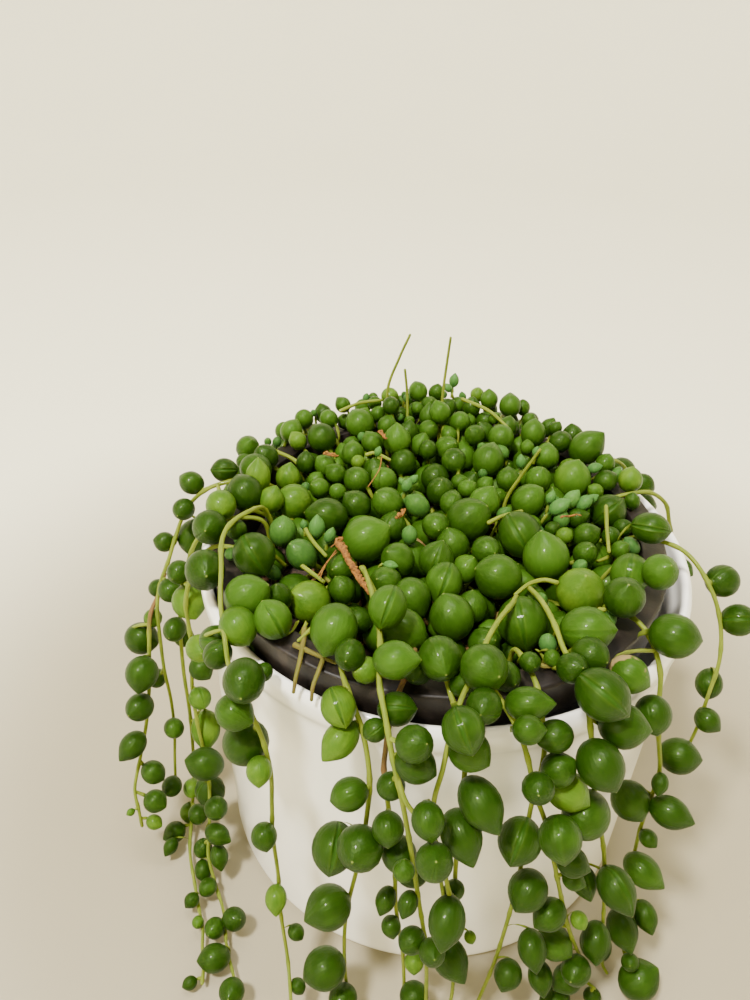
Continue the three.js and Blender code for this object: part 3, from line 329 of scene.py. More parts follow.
# %% Routes of the stems that the front shows
STRANDS = {
    "left_arch": {
        "root": -100,
        "route": [[-100, 48.5, 107.5], [-96, 56, 111.5], [-93, 63, 111], [-92, 68, 108], [-91, 72, 103],
            [-90, 75, 96], [-86, 77, 89], [-84, 79, 84], [-81, 80, 78], [-79, 80, 67], [-78, 80, 57],
            [-76, 79, 47], [-74, 79, 37], [-72, 80, 27], [-70, 81, 16]],
        "branch": [[-85, 78, 86], [-83, 79.5, 81], [-80, 82, 76], [-77, 83, 66], [-74, 84, 56],
            [-71, 86, 46], [-69, 89, 36], [-66, 92, 28], [-64, 92, 22], [-63, 92, 16]],
        "pearls": [[30, 80, 9], [39, -10, 8], [47, 60, 8], [54, -90, 7], [66, -70, 6.5], [73, -160, 6],
            [80, -90, 6.5], [88, -90, 5.5], [127, -90, 6.5], [149, -80, 6.5], [151, 0, 7]],
        "branch_pearls": [[18, -80, 9.5], [29, -80, 9.5], [41, -60, 8], [53, -50, 8], [60, 180, 7],
            [72, -30, 4], [78, 180, 5.5]],
    },
    "left_trail": {
        "root": -82,
        "route": [[-82, 48.5, 107.5], [-81, 56, 109.3], [-80, 61, 108.3], [-79, 66, 103.8], [-78, 69, 97],
            [-78, 71, 90], [-77, 73, 78], [-76, 74, 60], [-75, 74, 40], [-73, 75, 20], [-68, 77, 8],
            [-60, 80, 3.5], [-52, 82, 3.5], [-47, 84, 3.5], [-43, 86, 3.5], [-40, 89, 3.5],
            [-37, 92, 3.5], [-35, 95, 3.5]],
        "pearls": [[32, 100, 9], [41, -90, 9.5], [50, 90, 8], [60, -80, 8], [77, -80, 6.5], [112, -60, 6],
            [151, -50, 6.5], [156, -150, 7], [165, -150, 6], [169, 180, 6.5], [174, -50, 4.5],
            [177, -100, 4.5], [191, -140, 7.5], [197, -10, 4.5]],
    },
    "left_curtain": {
        "root": -66,
        "route": [[-66, 48.5, 107.5], [-68, 56, 109.3], [-70, 61, 109], [-71, 65.5, 104.2],
            [-71, 68.3, 98], [-70, 70, 91], [-70, 70, 84], [-69, 70, 74], [-70, 71.5, 60],
            [-67, 71.5, 48], [-65, 71, 40], [-62, 71, 30], [-58, 73, 20], [-54, 76, 10], [-49, 77, 4],
            [-43, 79, 3.5], [-37, 84, 3.5], [-32, 88, 3.5], [-29, 91, 3.5]],
        "pearls": [[27, 90, 9], [34, -60, 9.5], [43, 70, 8], [51, -80, 9], [60, -110, 9], [70, -110, 6.5],
            [76, -120, 7.5], [85, -140, 6], [97, 100, 6.5], [103, 100, 8], [120, -90, 10], [131, -80, 10],
            [124, 20, 8.5], [133, 10, 7], [146, 170, 7], [158, -120, 7], [167, -110, 8.5], [170, -30, 5.5],
            [187, -70, 7]],
    },
    "left_front": {
        "root": -90,
        "route": [[-89, 49, 107], [-80, 51, 112.5], [-74, 56, 113], [-68, 59, 112.3], [-60, 61, 110],
            [-53, 64, 106.5], [-46, 67, 103.5], [-42, 69, 99], [-36, 70, 93], [-32, 70.5, 86],
            [-30, 71, 76], [-30, 71.5, 64], [-30, 72, 52], [-29, 72.5, 36], [-28, 74, 22], [-25, 77, 7],
            [-22, 82, 3.5], [-20, 86, 3.5]],
        "pearls": [[33, 60, 9], [42, -70, 8.5], [52, -90, 5], [60, 80, 8.5], [99, -20, 8], [91, -10, 7.5],
            [109, 90, 5], [134, 0, 6.5], [158, -30, 6.5], [172, -120, 5], [187, -110, 5]],
    },
    "left_single": {
        "root": -31,
        "route": [[-31, 48.5, 107.5], [-31, 55, 108.8], [-31, 60, 108.3], [-31.5, 64, 106.5],
            [-32.5, 67.8, 101.5], [-33, 69, 96]],
        "pearls": [[24, 90, 9], [32, -80, 9.5], [40, 60, 8.5], [51, -20, 9.5]],
    },
    "front_left": {
        "root": -24,
        "route": [[-23, 48.5, 107.5], [-21, 56, 109], [-18, 61.5, 109], [-14, 66, 106.2], [-11, 69, 101],
            [-9, 72, 91], [-9, 74, 79], [-10, 75, 64], [-12, 76, 41], [-12, 77, 20], [-11, 78, 6],
            [-10, 81, 3.5]],
        "pearls": [[30, -80, 9], [44, 30, 8.5], [53, 30, 9], [68, 40, 8.5], [65, -90, 7], [88, 80, 10.5],
            [86, 0, 9.5], [110, 40, 10.5], [136, 40, 10.5], [148, 0, 8.5]],
    },
    "front_long": {
        "root": -14,
        "join": [[-14, 48.5, 106], [-14, 51, 111.6]],
        "route": [[-36, 32, 111], [-25, 38, 112.5], [-16, 47, 112.5], [-12, 55, 111.4], [-10, 62, 110],
            [-7, 69, 106.5], [-5, 73, 100], [-3, 75, 90], [-1, 76, 75], [1, 77, 57], [3, 78, 38],
            [4, 78, 16], [4, 80, 5], [3.5, 84, 3.5]],
        "branch": [[-4, 74, 96], [-2, 77, 92], [2, 79, 86], [4, 80, 77], [6, 81, 63], [7, 81, 50]],
        "pearls": [[17, -40, 8], [31, -50, 8.5], [42, -80, 8], [50, -80, 8], [56, -110, 7.5], [62, 50, 7],
            [78, 130, 7.5], [90, 50, 5.5], [98, 60, 4.5], [106, 80, 5], [114, 120, 8], [138, 80, 4.5]],
        "branch_pearls": [[11, -60, 6], [33, -40, 5], [49, -80, 5]],
    },
    "front_inner": {
        "root": -5,
        "route": [[-5, 48.5, 107.5], [-5, 56, 109.3], [-6, 61, 108.3], [-7, 65, 103.8], [-7, 68.3, 98],
            [-7, 69.5, 92], [-6, 71, 85], [-4, 72, 65], [-3, 73, 45], [-1, 74, 25], [0, 76, 6],
            [0, 80, 3.5]],
        "pearls": [[47, 90, 7], [58, -90, 7.5], [84, 20, 8], [93, -30, 8], [112, 0, 6.5], [119, 90, 6],
            [140, 0, 5]],
    },
    "front_arch": {
        "root": 15.5,
        "join": [[15, 48.5, 106], [12, 51, 112]],
        "route": [[30, 36, 111], [25, 39.5, 112.5], [18, 44, 112.5], [12, 51, 112], [9, 57, 111.2],
            [6, 63, 110], [4, 69, 106.5], [3, 73, 99.5], [2, 75, 90], [3, 76, 76], [5, 77, 60],
            [6, 78, 48]],
        "pearls": [[8, -60, 8.5], [27, -20, 9.5], [42, 0, 8.5], [81, 10, 9], [99, 0, 9]],
    },
    "front_mid": {
        "root": 4,
        "route": [[4, 48.5, 107.5], [3, 56, 109.3], [4, 61, 108.3], [6, 65, 103.8], [7, 68.3, 98],
            [7, 70.5, 92], [7, 73, 80], [7, 74, 65], [8, 75, 45], [9, 77, 18], [8.5, 79, 8],
            [8, 82, 4], [8, 86, 3.5]],
        "pearls": [[30, -90, 9], [48, -40, 8], [62, -30, 9.5], [74, 10, 9.5], [96, -80, 7],
            [120, 40, 9.5]],
    },
    "front_right": {
        "root": 10,
        "route": [[11, 48.5, 107.5], [11, 56, 109.3], [13, 61, 108.3], [16, 65.5, 103.8], [17.5, 69.5, 99],
            [19, 73, 90], [21, 75, 82], [23, 75.5, 72], [25, 76, 62], [28, 76.5, 47], [31, 78, 32],
            [36, 79, 13], [37, 80, 5], [38, 83, 3.5]],
        "pearls": [[30, 90, 9], [38, 70, 6.5], [43, -100, 8], [50, -80, 7.5], [57, -80, 7], [66, 60, 7],
            [77, 90, 9.5], [79, -30, 7], [97, 100, 9.5], [98, -60, 5], [107, 80, 7.5], [114, -50, 4.5],
            [120, 100, 10], [128, 80, 9], [146, -60, 6]],
    },
    "front_right_inner": {
        "root": 21.5,
        "route": [[21.5, 48.5, 107.5], [21.5, 56, 109.3], [21.5, 61, 108.3], [21.5, 65, 103.6],
            [21.5, 68, 98], [21, 69.5, 90], [20, 70.5, 80], [20, 71.5, 62], [19, 73, 42], [17, 75, 22],
            [14, 78, 6], [13, 83, 3.5]],
        "pearls": [[30, -90, 9], [39, 60, 8], [80, 0, 8], [94, 60, 9], [108, -20, 9], [121, 40, 8.5],
            [132, -20, 8]],
    },
    "right_front": {
        "root": 33,
        "join": [[33, 48.5, 106], [32.5, 49.5, 111.6]],
        "route": [[38, 34, 110.5], [35, 41, 112.5], [33, 48, 112], [31, 55, 110.5], [31, 61, 109.6],
            [30, 66, 106], [30, 69.5, 99], [31, 71.5, 88], [33, 73, 76], [36, 75, 60], [38, 77, 42],
            [40, 78.5, 22], [41.5, 80, 7], [42, 82, 3.5]],
        "pearls": [[18, 70, 8], [29, -60, 10], [33, 10, 10.5], [42, -60, 10], [50, 10, 9.5],
            [57, 110, 10], [67, 60, 10.5], [83, 120, 8.5], [92, 0, 10], [97, 150, 9], [112, -10, 10.5],
            [122, -160, 9], [135, 110, 9.5]],
    },
    "right_long": {
        "root": 56,
        "route": [[55, 48.5, 107.5], [53, 56, 110], [51, 62, 108.8], [49, 67, 103.8], [47, 70, 96],
            [48, 71.5, 87], [51, 73, 72], [51, 73, 60], [50, 73.5, 49], [49, 75, 37], [49, 77, 24],
            [48, 79.5, 8], [46.5, 84, 3.5]],
        "pearls": [[26, 80, 9], [33, -90, 9], [40, -30, 10], [48, 90, 8], [56, 80, 8], [66, -80, 7],
            [83, -110, 6], [92, 10, 10], [94, 120, 9.5], [104, 10, 6], [117, 30, 10.5], [131, 0, 8.5],
            [150, 20, 10.5]],
    },
    "right_arch": {
        "root": 92,
        "route": [[90, 48.5, 107.5], [86, 57, 110], [82, 63, 109.5], [77, 69, 104.8], [75, 73, 97],
            [72, 75, 89], [69, 75, 80], [67, 75, 70], [66, 74, 58]],
        "pearls": [[24, 90, 9], [30, 30, 8], [38, 150, 8], [49, 70, 10], [59, 30, 7.5], [68, -80, 8],
            [75, 100, 8], [85, 70, 7], [98, 20, 9], [101, 110, 10.5]],
    },
}

# %% Routes of the other stems, and the marks of the crown
# Stems of the back and the far sides: name, root azimuth, height of the hanging end.
BACK_STRANDS = [
    ["back_right_low", 110, 14],
    ["back_right_mid", 127, 46],
    ["back_right_high", 146, 68],
    ["back_centre_low", 165, 24],
    ["back_centre_mid", 185, 52],
    ["back_left_high", 205, 74],
    ["back_left_low", 225, 18],
    ["back_left_mid", 244, 40],
]
# Beads of the crown that mark its shape, as [x, y, height, diameter], from the front to the back.
CROWN_MARKS = [
    [-43, -39, 110, 9], [-37, -45, 111, 9], [-30, -39, 110, 8.5], [-23, -45, 110, 10.5],
    [-16, -43, 109, 6.5], [-8, -42, 109, 10], [4, -40, 109, 10], [1, -52, 110, 10],
    [19, -37, 109, 10.5], [14, -52, 109, 7], [34, -37, 109, 10.5], [44, -25, 109, 10],
    [40, -50, 112, 10.5], [55, -16, 110, 8], [-23, -33, 109, 8], [-12, -37, 106, 8],
    [-35, -21, 109, 7.5], [-46, -22, 110, 10], [-24, -24, 108, 6.5], [-13, -28, 107, 7],
    [-6, -31, 108, 8], [1, -26, 110, 9.5], [8, -32, 107, 7], [15, -34, 106, 8],
    [14, -23, 110, 10.5], [34, -25, 110, 10.5], [26, -15, 110, 10], [46, -16, 108, 8],
    [-42, -13, 109, 7], [-20, -14, 111, 10.5], [-11, -19, 108, 7], [-2, -17, 108, 7.5],
    [3, -15, 106, 6], [20, -8, 111, 10.5], [36, -11, 108, 6], [46, -9, 108, 6.5],
    [21, -19, 107, 6], [11, -12, 108, 7], [-31, -4, 110, 9.5], [-24, 1, 109, 7], [-16, 3, 110, 8],
    [-7, -7, 108, 6], [-3, -6, 109, 7], [6, -2, 111, 10.5], [31, 6, 109, 6.5], [43, 8, 110, 10],
    [54, 3, 111, 8], [22, 9, 110, 9], [10, 8, 109, 8], [1, 6, 108, 6.5], [-8, 5, 108, 6],
    [-53, 9, 111, 7.5], [-47, 1, 110, 6.5], [-41, 0, 110, 8], [-36, 20, 109, 7],
    [-46, 20, 109, 6.5], [-26, 15, 109, 7], [-18, 14, 109, 7], [-14, 23, 110, 7.5],
    [-4, 17, 110, 8.5], [0, 25, 110, 8], [10, 26, 111, 10.5], [17, 19, 109, 6.5],
    [26, 23, 109, 7], [35, 23, 110, 10], [44, 25, 109, 8], [-54, 21, 111, 8], [-49, 27, 110, 6],
    [-39, 35, 110, 9], [-29, 28, 109, 6.5], [-24, 35, 109, 6], [-16, 34, 110, 8],
    [15, 42, 110, 8.5], [25, 46, 110, 9], [27, 34, 109, 7.5], [33, 43, 110, 8],
    [40, 41, 111, 10.5], [-29, 44, 110, 8.5], [-39, 49, 110, 6], [-36, 56, 110, 6],
    [-22, 62, 110, 7], [-14, 65, 110, 8.5], [-7, 55, 110, 8], [2, 52, 110, 7], [10, 66, 110, 6],
    [17, 62, 110, 7.5],
]
# Flower stalks and a bare shoot that rise from the crown, as lists of [x, y, height].
STALKS = [
    [[-16, 33, 99], [-20, 45, 110], [-21, 49, 120], [-18, 50, 130], [-15, 50, 138]],
    [[-11, 34, 99], [-14, 45, 110], [-15, 49, 119], [-16, 49, 127]],
    [[-3, 36, 99], [-4, 46, 110], [-4, 49, 121], [-3.5, 50, 130], [-3, 50, 138]],
    [[15, 6, 102], [16, 9, 110], [19, 9, 118], [23, 9, 127]],
]
print(len(STRANDS) + len(BACK_STRANDS), "stems,", len(CROWN_MARKS), "marks in the crown")

# %% [markdown]
# ## A smooth line through a route
# A stem bends smoothly, so its line has to pass through every point of the route without corners. A
# Catmull-Rom spline does that: between two points it follows a cubic whose slopes come from the points on
# either side. It is worked out here with numpy, because the beads need to know how far along it they are.

# %% A line with its length
SPAN_SAMPLES = 8
LENGTH_STEPS = 200
STREAM_SCALE = 7919
STREAM_START = 104729
STREAM_FACTOR = 16807
STREAM_MODULUS = 2147483647


class StemLine:
    """A smooth curve through points, with its running length."""

    def __init__(self, points):
        points = np.array(points, float)
        self.spans = len(points) - 1
        self.padded = np.vstack([2 * points[0] - points[1], points, 2 * points[-1] - points[-2]])
        self.samples = self.at(np.linspace(0, 1, SPAN_SAMPLES * self.spans + 1))
        self.run = running(self.samples)
        self.length = self.run[-1]
        self.spine = self.evenly(max(2, math.ceil(self.length / STEM_STEP)))

    def at(self, parts):
        """Points at parts of the curve, from 0 to 1."""
        where = parts * self.spans
        span = np.minimum(where.astype(int), self.spans - 1)
        t = (where - span)[:, None]
        before, start, end, after = (self.padded[span + offset] for offset in range(4))
        leave, arrive = (end - before) / 2, (after - start) / 2
        bend = 3 * (end - start) - 2 * leave - arrive
        return start + leave * t + bend * t**2 + (2 * (start - end) + leave + arrive) * t**3

    def evenly(self, count):
        """Points that part the curve into a number of equal lengths."""
        parts = np.linspace(0, 1, LENGTH_STEPS + 1)
        lengths = running(self.at(parts))
        return self.at(np.interp(np.linspace(0, lengths[-1], count + 1), lengths, parts))

    def along(self, length):
        """The point at a running length, and the direction there."""
        wanted = min(max(length, 0), self.length)
        i = min(max(int(np.searchsorted(self.run, wanted)), 1), len(self.run) - 1)
        part = (wanted - self.run[i - 1]) / (self.run[i] - self.run[i - 1])
        step = self.samples[i] - self.samples[i - 1]
        return self.samples[i - 1] + step * part, unit(step)


def running(points):
    """The length run at each of a row of points."""
    steps = np.linalg.norm(np.diff(points, axis=0), axis=1)
    return np.concatenate([[0], np.cumsum(steps)])


def unit(vector):
    return vector / np.linalg.norm(vector)


def place(step):
    """A point from its azimuth in degrees, distance from the axis and height."""
    azimuth, distance, height = step
    angle = math.radians(azimuth)
    return np.array((distance * math.sin(angle), -distance * math.cos(angle), height))


def random_in_pot(draws, reach):
    """A random place over the soil: its x and y."""
    angle = draws.uniform(0, 2 * math.pi)
    distance = reach * math.sqrt(draws.random())
    return NURSERY_X + distance * math.cos(angle), NURSERY_Y + distance * math.sin(angle)


def random_stream(seed):
    """Repeatable random numbers between 0 and 1, the same that the CAD part draws."""
    state = seed * STREAM_SCALE + STREAM_START
    while True:
        state = state * STREAM_FACTOR % STREAM_MODULUS
        yield state / STREAM_MODULUS


# %% [markdown]
# ## Stems of the back
# The photograph hides the far side. A plant like this hangs over its pot all the way round, so eight more
# stems follow a rule: over the lip, out past the rim, and down with a slight sway that a seeded random
# stream gives.

# %% Lines of every stem
BACK_START = [[48.5, 107.5], [56, 109.3], [61, 108.3], [66, 104], [68.5, 98]]
BACK_DROP = 12
BACK_SWAY = 5
BACK_DISTANCE = 70.5
BACK_SPREAD = 3
BACK_FIRST_PEARL = 27
BACK_PEARL_STEP = [9.1, 6.5]
BACK_SIDE = 75
BACK_SIDE_RANGE = 80
BACK_PEARL = 9.6
BACK_TAPER = 3
BACK_SEED = 31


def back_route(azimuth, end, draws):
    route = [[azimuth, distance, height] for distance, height in BACK_START]
    height = BACK_START[-1][1] - BACK_DROP
    while height > end:
        sway = BACK_SWAY * (next(draws) - 0.5)
        route.append([azimuth + sway, BACK_DISTANCE + BACK_SPREAD * next(draws), height])
        height -= BACK_DROP
    return route


def back_pearls(length, draws):
    beads = []
    least, more = BACK_PEARL_STEP
    run = BACK_FIRST_PEARL
    while run < length:
        turn = BACK_SIDE if len(beads) % 2 else -BACK_SIDE
        side = turn + BACK_SIDE_RANGE * (next(draws) - 0.5)
        beads.append([run, side, BACK_PEARL - BACK_TAPER * (run / length) * next(draws)])
        run += least + more * next(draws)
    return beads


def routed(steps, azimuth=None):
    """A line through the steps of a route. With an azimuth, it starts at its root in the soil there."""
    heights = [] if azimuth is None else [ROOT_BOTTOM, ROOT_TOP]
    root = [[azimuth, ROOT_RADIUS, height] for height in heights]
    return StemLine([place(step) for step in root + steps])


def stem_lines():
    """Every stem's lines with the beads of each: {name: [(line, beads), ...]}."""
    lines = {}
    for name, plan in STRANDS.items():
        if "join" in plan:
            lines[name] = [(routed(plan["join"], plan["root"]), [])]
            lines[name].append((routed(plan["route"]), plan["pearls"]))
        else:
            lines[name] = [(routed(plan["route"], plan["root"]), plan["pearls"])]
        if "branch" in plan:
            lines[name].append((routed(plan["branch"]), plan["branch_pearls"]))
    for index, (name, azimuth, end) in enumerate(BACK_STRANDS):
        draws = random_stream(BACK_SEED + index)
        line = routed(back_route(azimuth, end, draws), azimuth)
        lines[name] = [(line, back_pearls(line.length, draws))]
    return lines


STEMS = stem_lines()
STALK_LINES = [StemLine(points) for points in STALKS]
whole_length = sum(line.length for pairs in STEMS.values() for line, _ in pairs)
print("length of all the stems in m:", round(whole_length * MM, 2))

# %% [markdown]
# ## Where the beads grow
# A bead can't grow through a pot, a stem or another bead. So each one is tried at its own side of the
# stem, pushed clear of the pots, and turned or shrunk a little until it clears its neighbours. These are
# the CAD part's rules, repeated in the same order and with the same numbers, so that each detailed bead
# stands in the place of its coarse one.

# %% The pots and the surface as a skyline
PEARL_TIP = 1.25
PEARL_SWELL = 1.04
LIE = 0.3
CLEAR_ROUNDS = 3
ROUNDING = 0.2
MOUTH_TAPER = 1.4
NURSERY_SHIFT = math.hypot(NURSERY_X, NURSERY_Y)
REACH_RADIUS = LIP_RADIUS + NURSERY_SHIFT + ROUNDING
MOUTH_RADIUS = LIP_INNER_RADIUS - NURSERY_SHIFT - ROUNDING
SKYLINE = [
    (0, SOIL_TOP),
    (MOUTH_RADIUS - MOUTH_TAPER, SOIL_TOP),
    (MOUTH_RADIUS, LIP_TOP),
    (REACH_RADIUS, LIP_TOP),
    (REACH_RADIUS, PLANTER_HEIGHT),
    (PLANTER_RIM_RADIUS, PLANTER_HEIGHT),
    (PLANTER_RIM_RADIUS, PLANTER_HEIGHT - RIM_DEPTH),
    (PLANTER_TOP_RADIUS, PLANTER_HEIGHT - RIM_DEPTH - RIM_ROUND),
    (PLANTER_BASE_RADIUS, 0),
    (PLANTER_RIM_RADIUS * 2, 0),
]


def push_clear(centre, radius):
    """Moves a centre away from the skyline until a ball of the radius clears it."""
    distance, height = math.hypot(centre[0], centre[1]), centre[2]
    outward = (centre[0] / distance, centre[1] / distance)
    for _ in range(CLEAR_ROUNDS):
        for (near, low), (far, high) in zip(SKYLINE, SKYLINE[1:]):
            across, rise = far - near, high - low
            part = ((distance - near) * across + (height - low) * rise) / (across**2 + rise**2)
            part = min(max(part, 0), 1)
            out, up = distance - near - across * part, height - low - rise * part
            apart = math.hypot(out, up)
            short = radius * PEARL_SWELL + LIE - apart
            if short > 0 and apart > 0:
                distance += out / apart * short
                height += up / apart * short
    return np.array((outward[0] * distance, outward[1] * distance, height))


def ground_at(distance):
    """The height of the soil, the pots or the surface at a distance from the axis."""
    if distance < MOUTH_RADIUS:
        return SOIL_TOP
    if distance < REACH_RADIUS:
        return LIP_TOP
    if distance < PLANTER_RIM_RADIUS:
        return PLANTER_HEIGHT
    return 0.0


def is_buried(point):
    return point[2] < ground_at(math.hypot(point[0], point[1])) + LIE


# %% A bead, and the thicket of all that has grown
PEARL_ROOM = 0.9
STEM_ROOM = 0.45
NECK_WIDTH = 1.35
NECK_PARTS = [0.3, 0.6, 0.8]
NECK_REST = 0.8
TIP_WIDTH = 0.2
TOUCH = 0.01


@dataclass
class Bead:
    """One round leaf: where it leaves its stem, its centre, its radius and how young it is."""

    owner: str
    root: np.ndarray
    centre: np.ndarray
    radius: float
    youth: float = 0.0
    looks: str = ""
    aim: np.ndarray = None

    @property
    def axis(self):
        return unit(self.centre - self.root) if self.aim is None else self.aim

    @property
    def tip(self):
        return self.centre + self.axis * PEARL_TIP * self.radius


class Thicket:
    """Every stem and bead that has grown, in arrays that are quick to search."""

    def __init__(self):
        self.stem_points = np.zeros((0, 3))
        self.stem_room = np.zeros(0)
        self.stem_owners = np.zeros(0, object)
        self.beads = []
        self.centres = np.zeros((0, 3))
        self.tips = np.zeros((0, 3))
        self.roots = np.zeros((0, 3))
        self.radii = np.zeros(0)
        self.owners = np.zeros(0, object)

    def add_stem(self, owner, line, radius):
        self.stem_points = np.vstack([self.stem_points, line.samples])
        self.stem_room = np.append(self.stem_room, [radius + STEM_ROOM] * len(line.samples))
        self.stem_owners = np.append(self.stem_owners, [owner] * len(line.samples))

    def add(self, bead):
        self.beads.append(bead)
        self.centres = np.vstack([self.centres, bead.centre])
        self.tips = np.vstack([self.tips, bead.tip])
        self.roots = np.vstack([self.roots, bead.root])
        self.radii = np.append(self.radii, bead.radius)
        self.owners = np.append(self.owners, bead.owner)

    def clears(self, owner, centre, radius, own):
        """Whether a ball keeps clear of every other piece, and mostly of its own beads."""
        others = self.stem_owners != owner
        apart = np.linalg.norm(self.stem_points - centre, axis=1)
        if (others & (apart < radius + self.stem_room)).any():
            return False
        others = self.owners != owner
        room = radius + self.radii * PEARL_SWELL + LIE
        if (np.linalg.norm(self.centres - centre, axis=1) < np.where(others, room, room * own)).any():
            return False
        for ends in (self.tips, self.roots):
            if (others & (np.linalg.norm(ends - centre, axis=1) < radius + LIE)).any():
                return False
        return True

    def takes(self, bead, own):
        """Whether a whole bead clears: its ball, its tip and the cone down to its root."""
        if not self.clears(bead.owner, bead.centre, bead.radius * PEARL_SWELL, own):
            return False
        if not self.clears(bead.owner, bead.tip, TIP_WIDTH, 0):
            return False
        if is_buried(bead.centre) or is_buried(bead.tip):
            return False
        for part in NECK_PARTS:
            neck = bead.root + (bead.centre - bead.root) * part
            width = bead.radius * part * NECK_WIDTH
            if is_buried(neck - (0, 0, width * NECK_REST)) or not self.clears(bead.owner, neck, width, 0):
                return False
            moved = np.linalg.norm(push_clear(neck, width * NECK_REST) - neck)
            if bead.owner != "crown" and moved > TOUCH:
                return False
        return True


# %% Beads of the stems
PEDICEL = 1.0
PEDICEL_LIMIT = 3.0
PEARL_LEAN = 0.35
STEM_RISE = 0.3
SIDE_TRIES = [0, 50, -50, 100, -100, 150]
SIZE_TRIES = [1, 0.84, 0.7]


def seat_on(spine, point):
    """The nearest point to a stem's point on the straight stretches of the CAD part's rod."""
    starts, steps = spine[:-1], np.diff(spine, axis=0)
    parts = np.sum((point - starts) * steps, axis=1) / np.sum(steps * steps, axis=1)
    nearest = starts + steps * np.clip(parts, 0, 1)[:, None]
    return nearest[np.argmin(np.linalg.norm(nearest - point, axis=1))]


def bare_thicket():
    """A thicket of every stem and stalk, still without beads."""
    bare = Thicket()
    for name, pairs in STEMS.items():
        for line, _ in pairs:
            bare.add_stem(name, line, STEM_RADIUS)
    for line in STALK_LINES:
        bare.add_stem("crown", line, STALK_RADIUS)
    return bare


def grow_bead(thicket, owner, line, run, side, diameter):
    """Grows one bead on a line at a side, turned or shrunk until it clears its neighbours."""
    point, tangent = line.along(run)
    outward = unit(np.array((point[0], point[1], 0.0)))
    outward = outward * STEM_RISE + (0, 0, 1) if point[2] > LIP_TOP else outward + (0, 0, STEM_RISE)
    outward = unit(outward - tangent * np.dot(outward, tangent))
    lateral = np.cross(tangent, outward)
    for scale in SIZE_TRIES:
        for turn in SIDE_TRIES:
            radius = diameter / 2 * scale
            angle = math.radians(side + turn)
            way = unit(outward * math.cos(angle) + lateral * math.sin(angle) + tangent * PEARL_LEAN)
            centre = push_clear(point + way * (radius + PEDICEL), radius)
            bead = Bead(owner, seat_on(line.spine, point), centre, radius)
            if np.linalg.norm(centre - point) > radius + PEDICEL_LIMIT:
                continue
            if thicket.takes(bead, PEARL_ROOM):
                thicket.add(bead)
                bead.root = point
                return


thicket = bare_thicket()
for name, pairs in STEMS.items():
    for line, beads in pairs:
        for run, side, diameter in beads:
            grow_bead(thicket, name, line, run, side, diameter)
print("beads on the stems:", len(thicket.beads))

# %% [markdown]
# ## The crown
# On the soil the stems lie so close that only their beads show. The beads that the photograph shows
# clearly are placed first. Then a seeded fill drops beads one by one into the lowest of a few places, where
# each comes to rest on the ones below it, as marbles do in a dish.

# %% Beads of the crown, as in the CAD part
CORE_OUTLINE = [(0, 105), (20, 104), (34, 102), (41, 99.5)]
CORE_REACH = 38
CORE_ROOT = 97.5
CORE_SINK = 2.5
CROWN_RADIUS = 51
CROWN_EDGE = 101.5
CROWN_X = -2
CROWN_Y = 2
CROWN_CEILING = 111.5
CROWN_FALL = 0.0018
CROWN_ATTEMPTS = 1500
CROWN_CHOICES = 3
CROWN_NESTLE = 0.9
CROWN_SMALLEST = 3.4
CROWN_RANGE = 1.7
CROWN_BED = 0.8
CROWN_ROOM = 0.88
CROWN_SEED = 7


def core_top(distance):
    """The height of the tangle of old stems under the beads, and past it of the roots round it."""
    reach, heights = zip(*CORE_OUTLINE)
    return float(np.interp(distance, reach, heights)) if distance <= reach[-1] else CROWN_EDGE


def crown_bead(x, y, height, radius):
    """A bead of the crown: its root lies in the tangle, under it or further in."""
    centre = push_clear(np.array((x, y, height), float), radius)
    distance = math.hypot(centre[0], centre[1])
    shrink = min(1, CORE_REACH / distance)
    under = min(centre[2] - radius - PEDICEL, core_top(distance * shrink) - CORE_SINK)
    root = np.array((centre[0] * shrink, centre[1] * shrink, max(CORE_ROOT, under)))
    return Bead("crown", root, centre, radius)


def add_if_clear(thicket, bead):
    if thicket.takes(bead, CROWN_ROOM):
        thicket.add(bead)


def rest_height(thicket, x, y, radius):
    """The height at which a bead comes to rest on the tangle and the beads below it."""
    bed = core_top(math.hypot(x, y)) + radius * CROWN_BED
    reach = (radius + thicket.radii) * CROWN_NESTLE
    apart = np.hypot(thicket.centres[:, 0] - x, thicket.centres[:, 1] - y)
    under = apart < reach
    if not under.any():
        return bed
    tops = thicket.centres[under, 2] + np.sqrt(reach[under] ** 2 - apart[under] ** 2)
    return max(bed, float(tops.max()))


def fill_crown(thicket):
    draws = random_stream(CROWN_SEED)
    for _ in range(CROWN_ATTEMPTS):
        radius = CROWN_SMALLEST + CROWN_RANGE * next(draws)
        best = None
        for _ in range(CROWN_CHOICES):
            angle = 2 * math.pi * next(draws)
            distance = CROWN_RADIUS * math.sqrt(next(draws))
            x = CROWN_X + distance * math.cos(angle)
            y = CROWN_Y + distance * math.sin(angle)
            height = rest_height(thicket, x, y, radius)
            if best is None or height < best[2]:
                best = (x, y, height)
        x, y, height = best
        if height > CROWN_CEILING - CROWN_FALL * (x * x + y * y):
            continue
        add_if_clear(thicket, crown_bead(x, y, height, radius))


for x, y, height, diameter in CROWN_MARKS:
    add_if_clear(thicket, crown_bead(x, y, height, diameter / 2))
fill_crown(thicket)
print("beads in all, as in the CAD part:", len(thicket.beads))

# %% [markdown]
# ## The beads that the photograph shows
# The photograph shows about 260 beads one by one, and the eye compares exactly these. So each is
# written down by its place in the picture, as a column and a row, with its real diameter. A sight line
# from the camera through that place then meets the mound of the crown, or the nearest hanging stem, and
# the bead settles there: it slides along the line until it clears its neighbours, the stems and the pots.
# Letters tell how a bead looks: d dark, y yellowish, b bluish, l long, w its window faces the camera,
# s scarred, p with a long point, f in front of its stem, u under others, c its tip faces the camera. A
# number after them is where its tip points, in degrees clockwise from up.

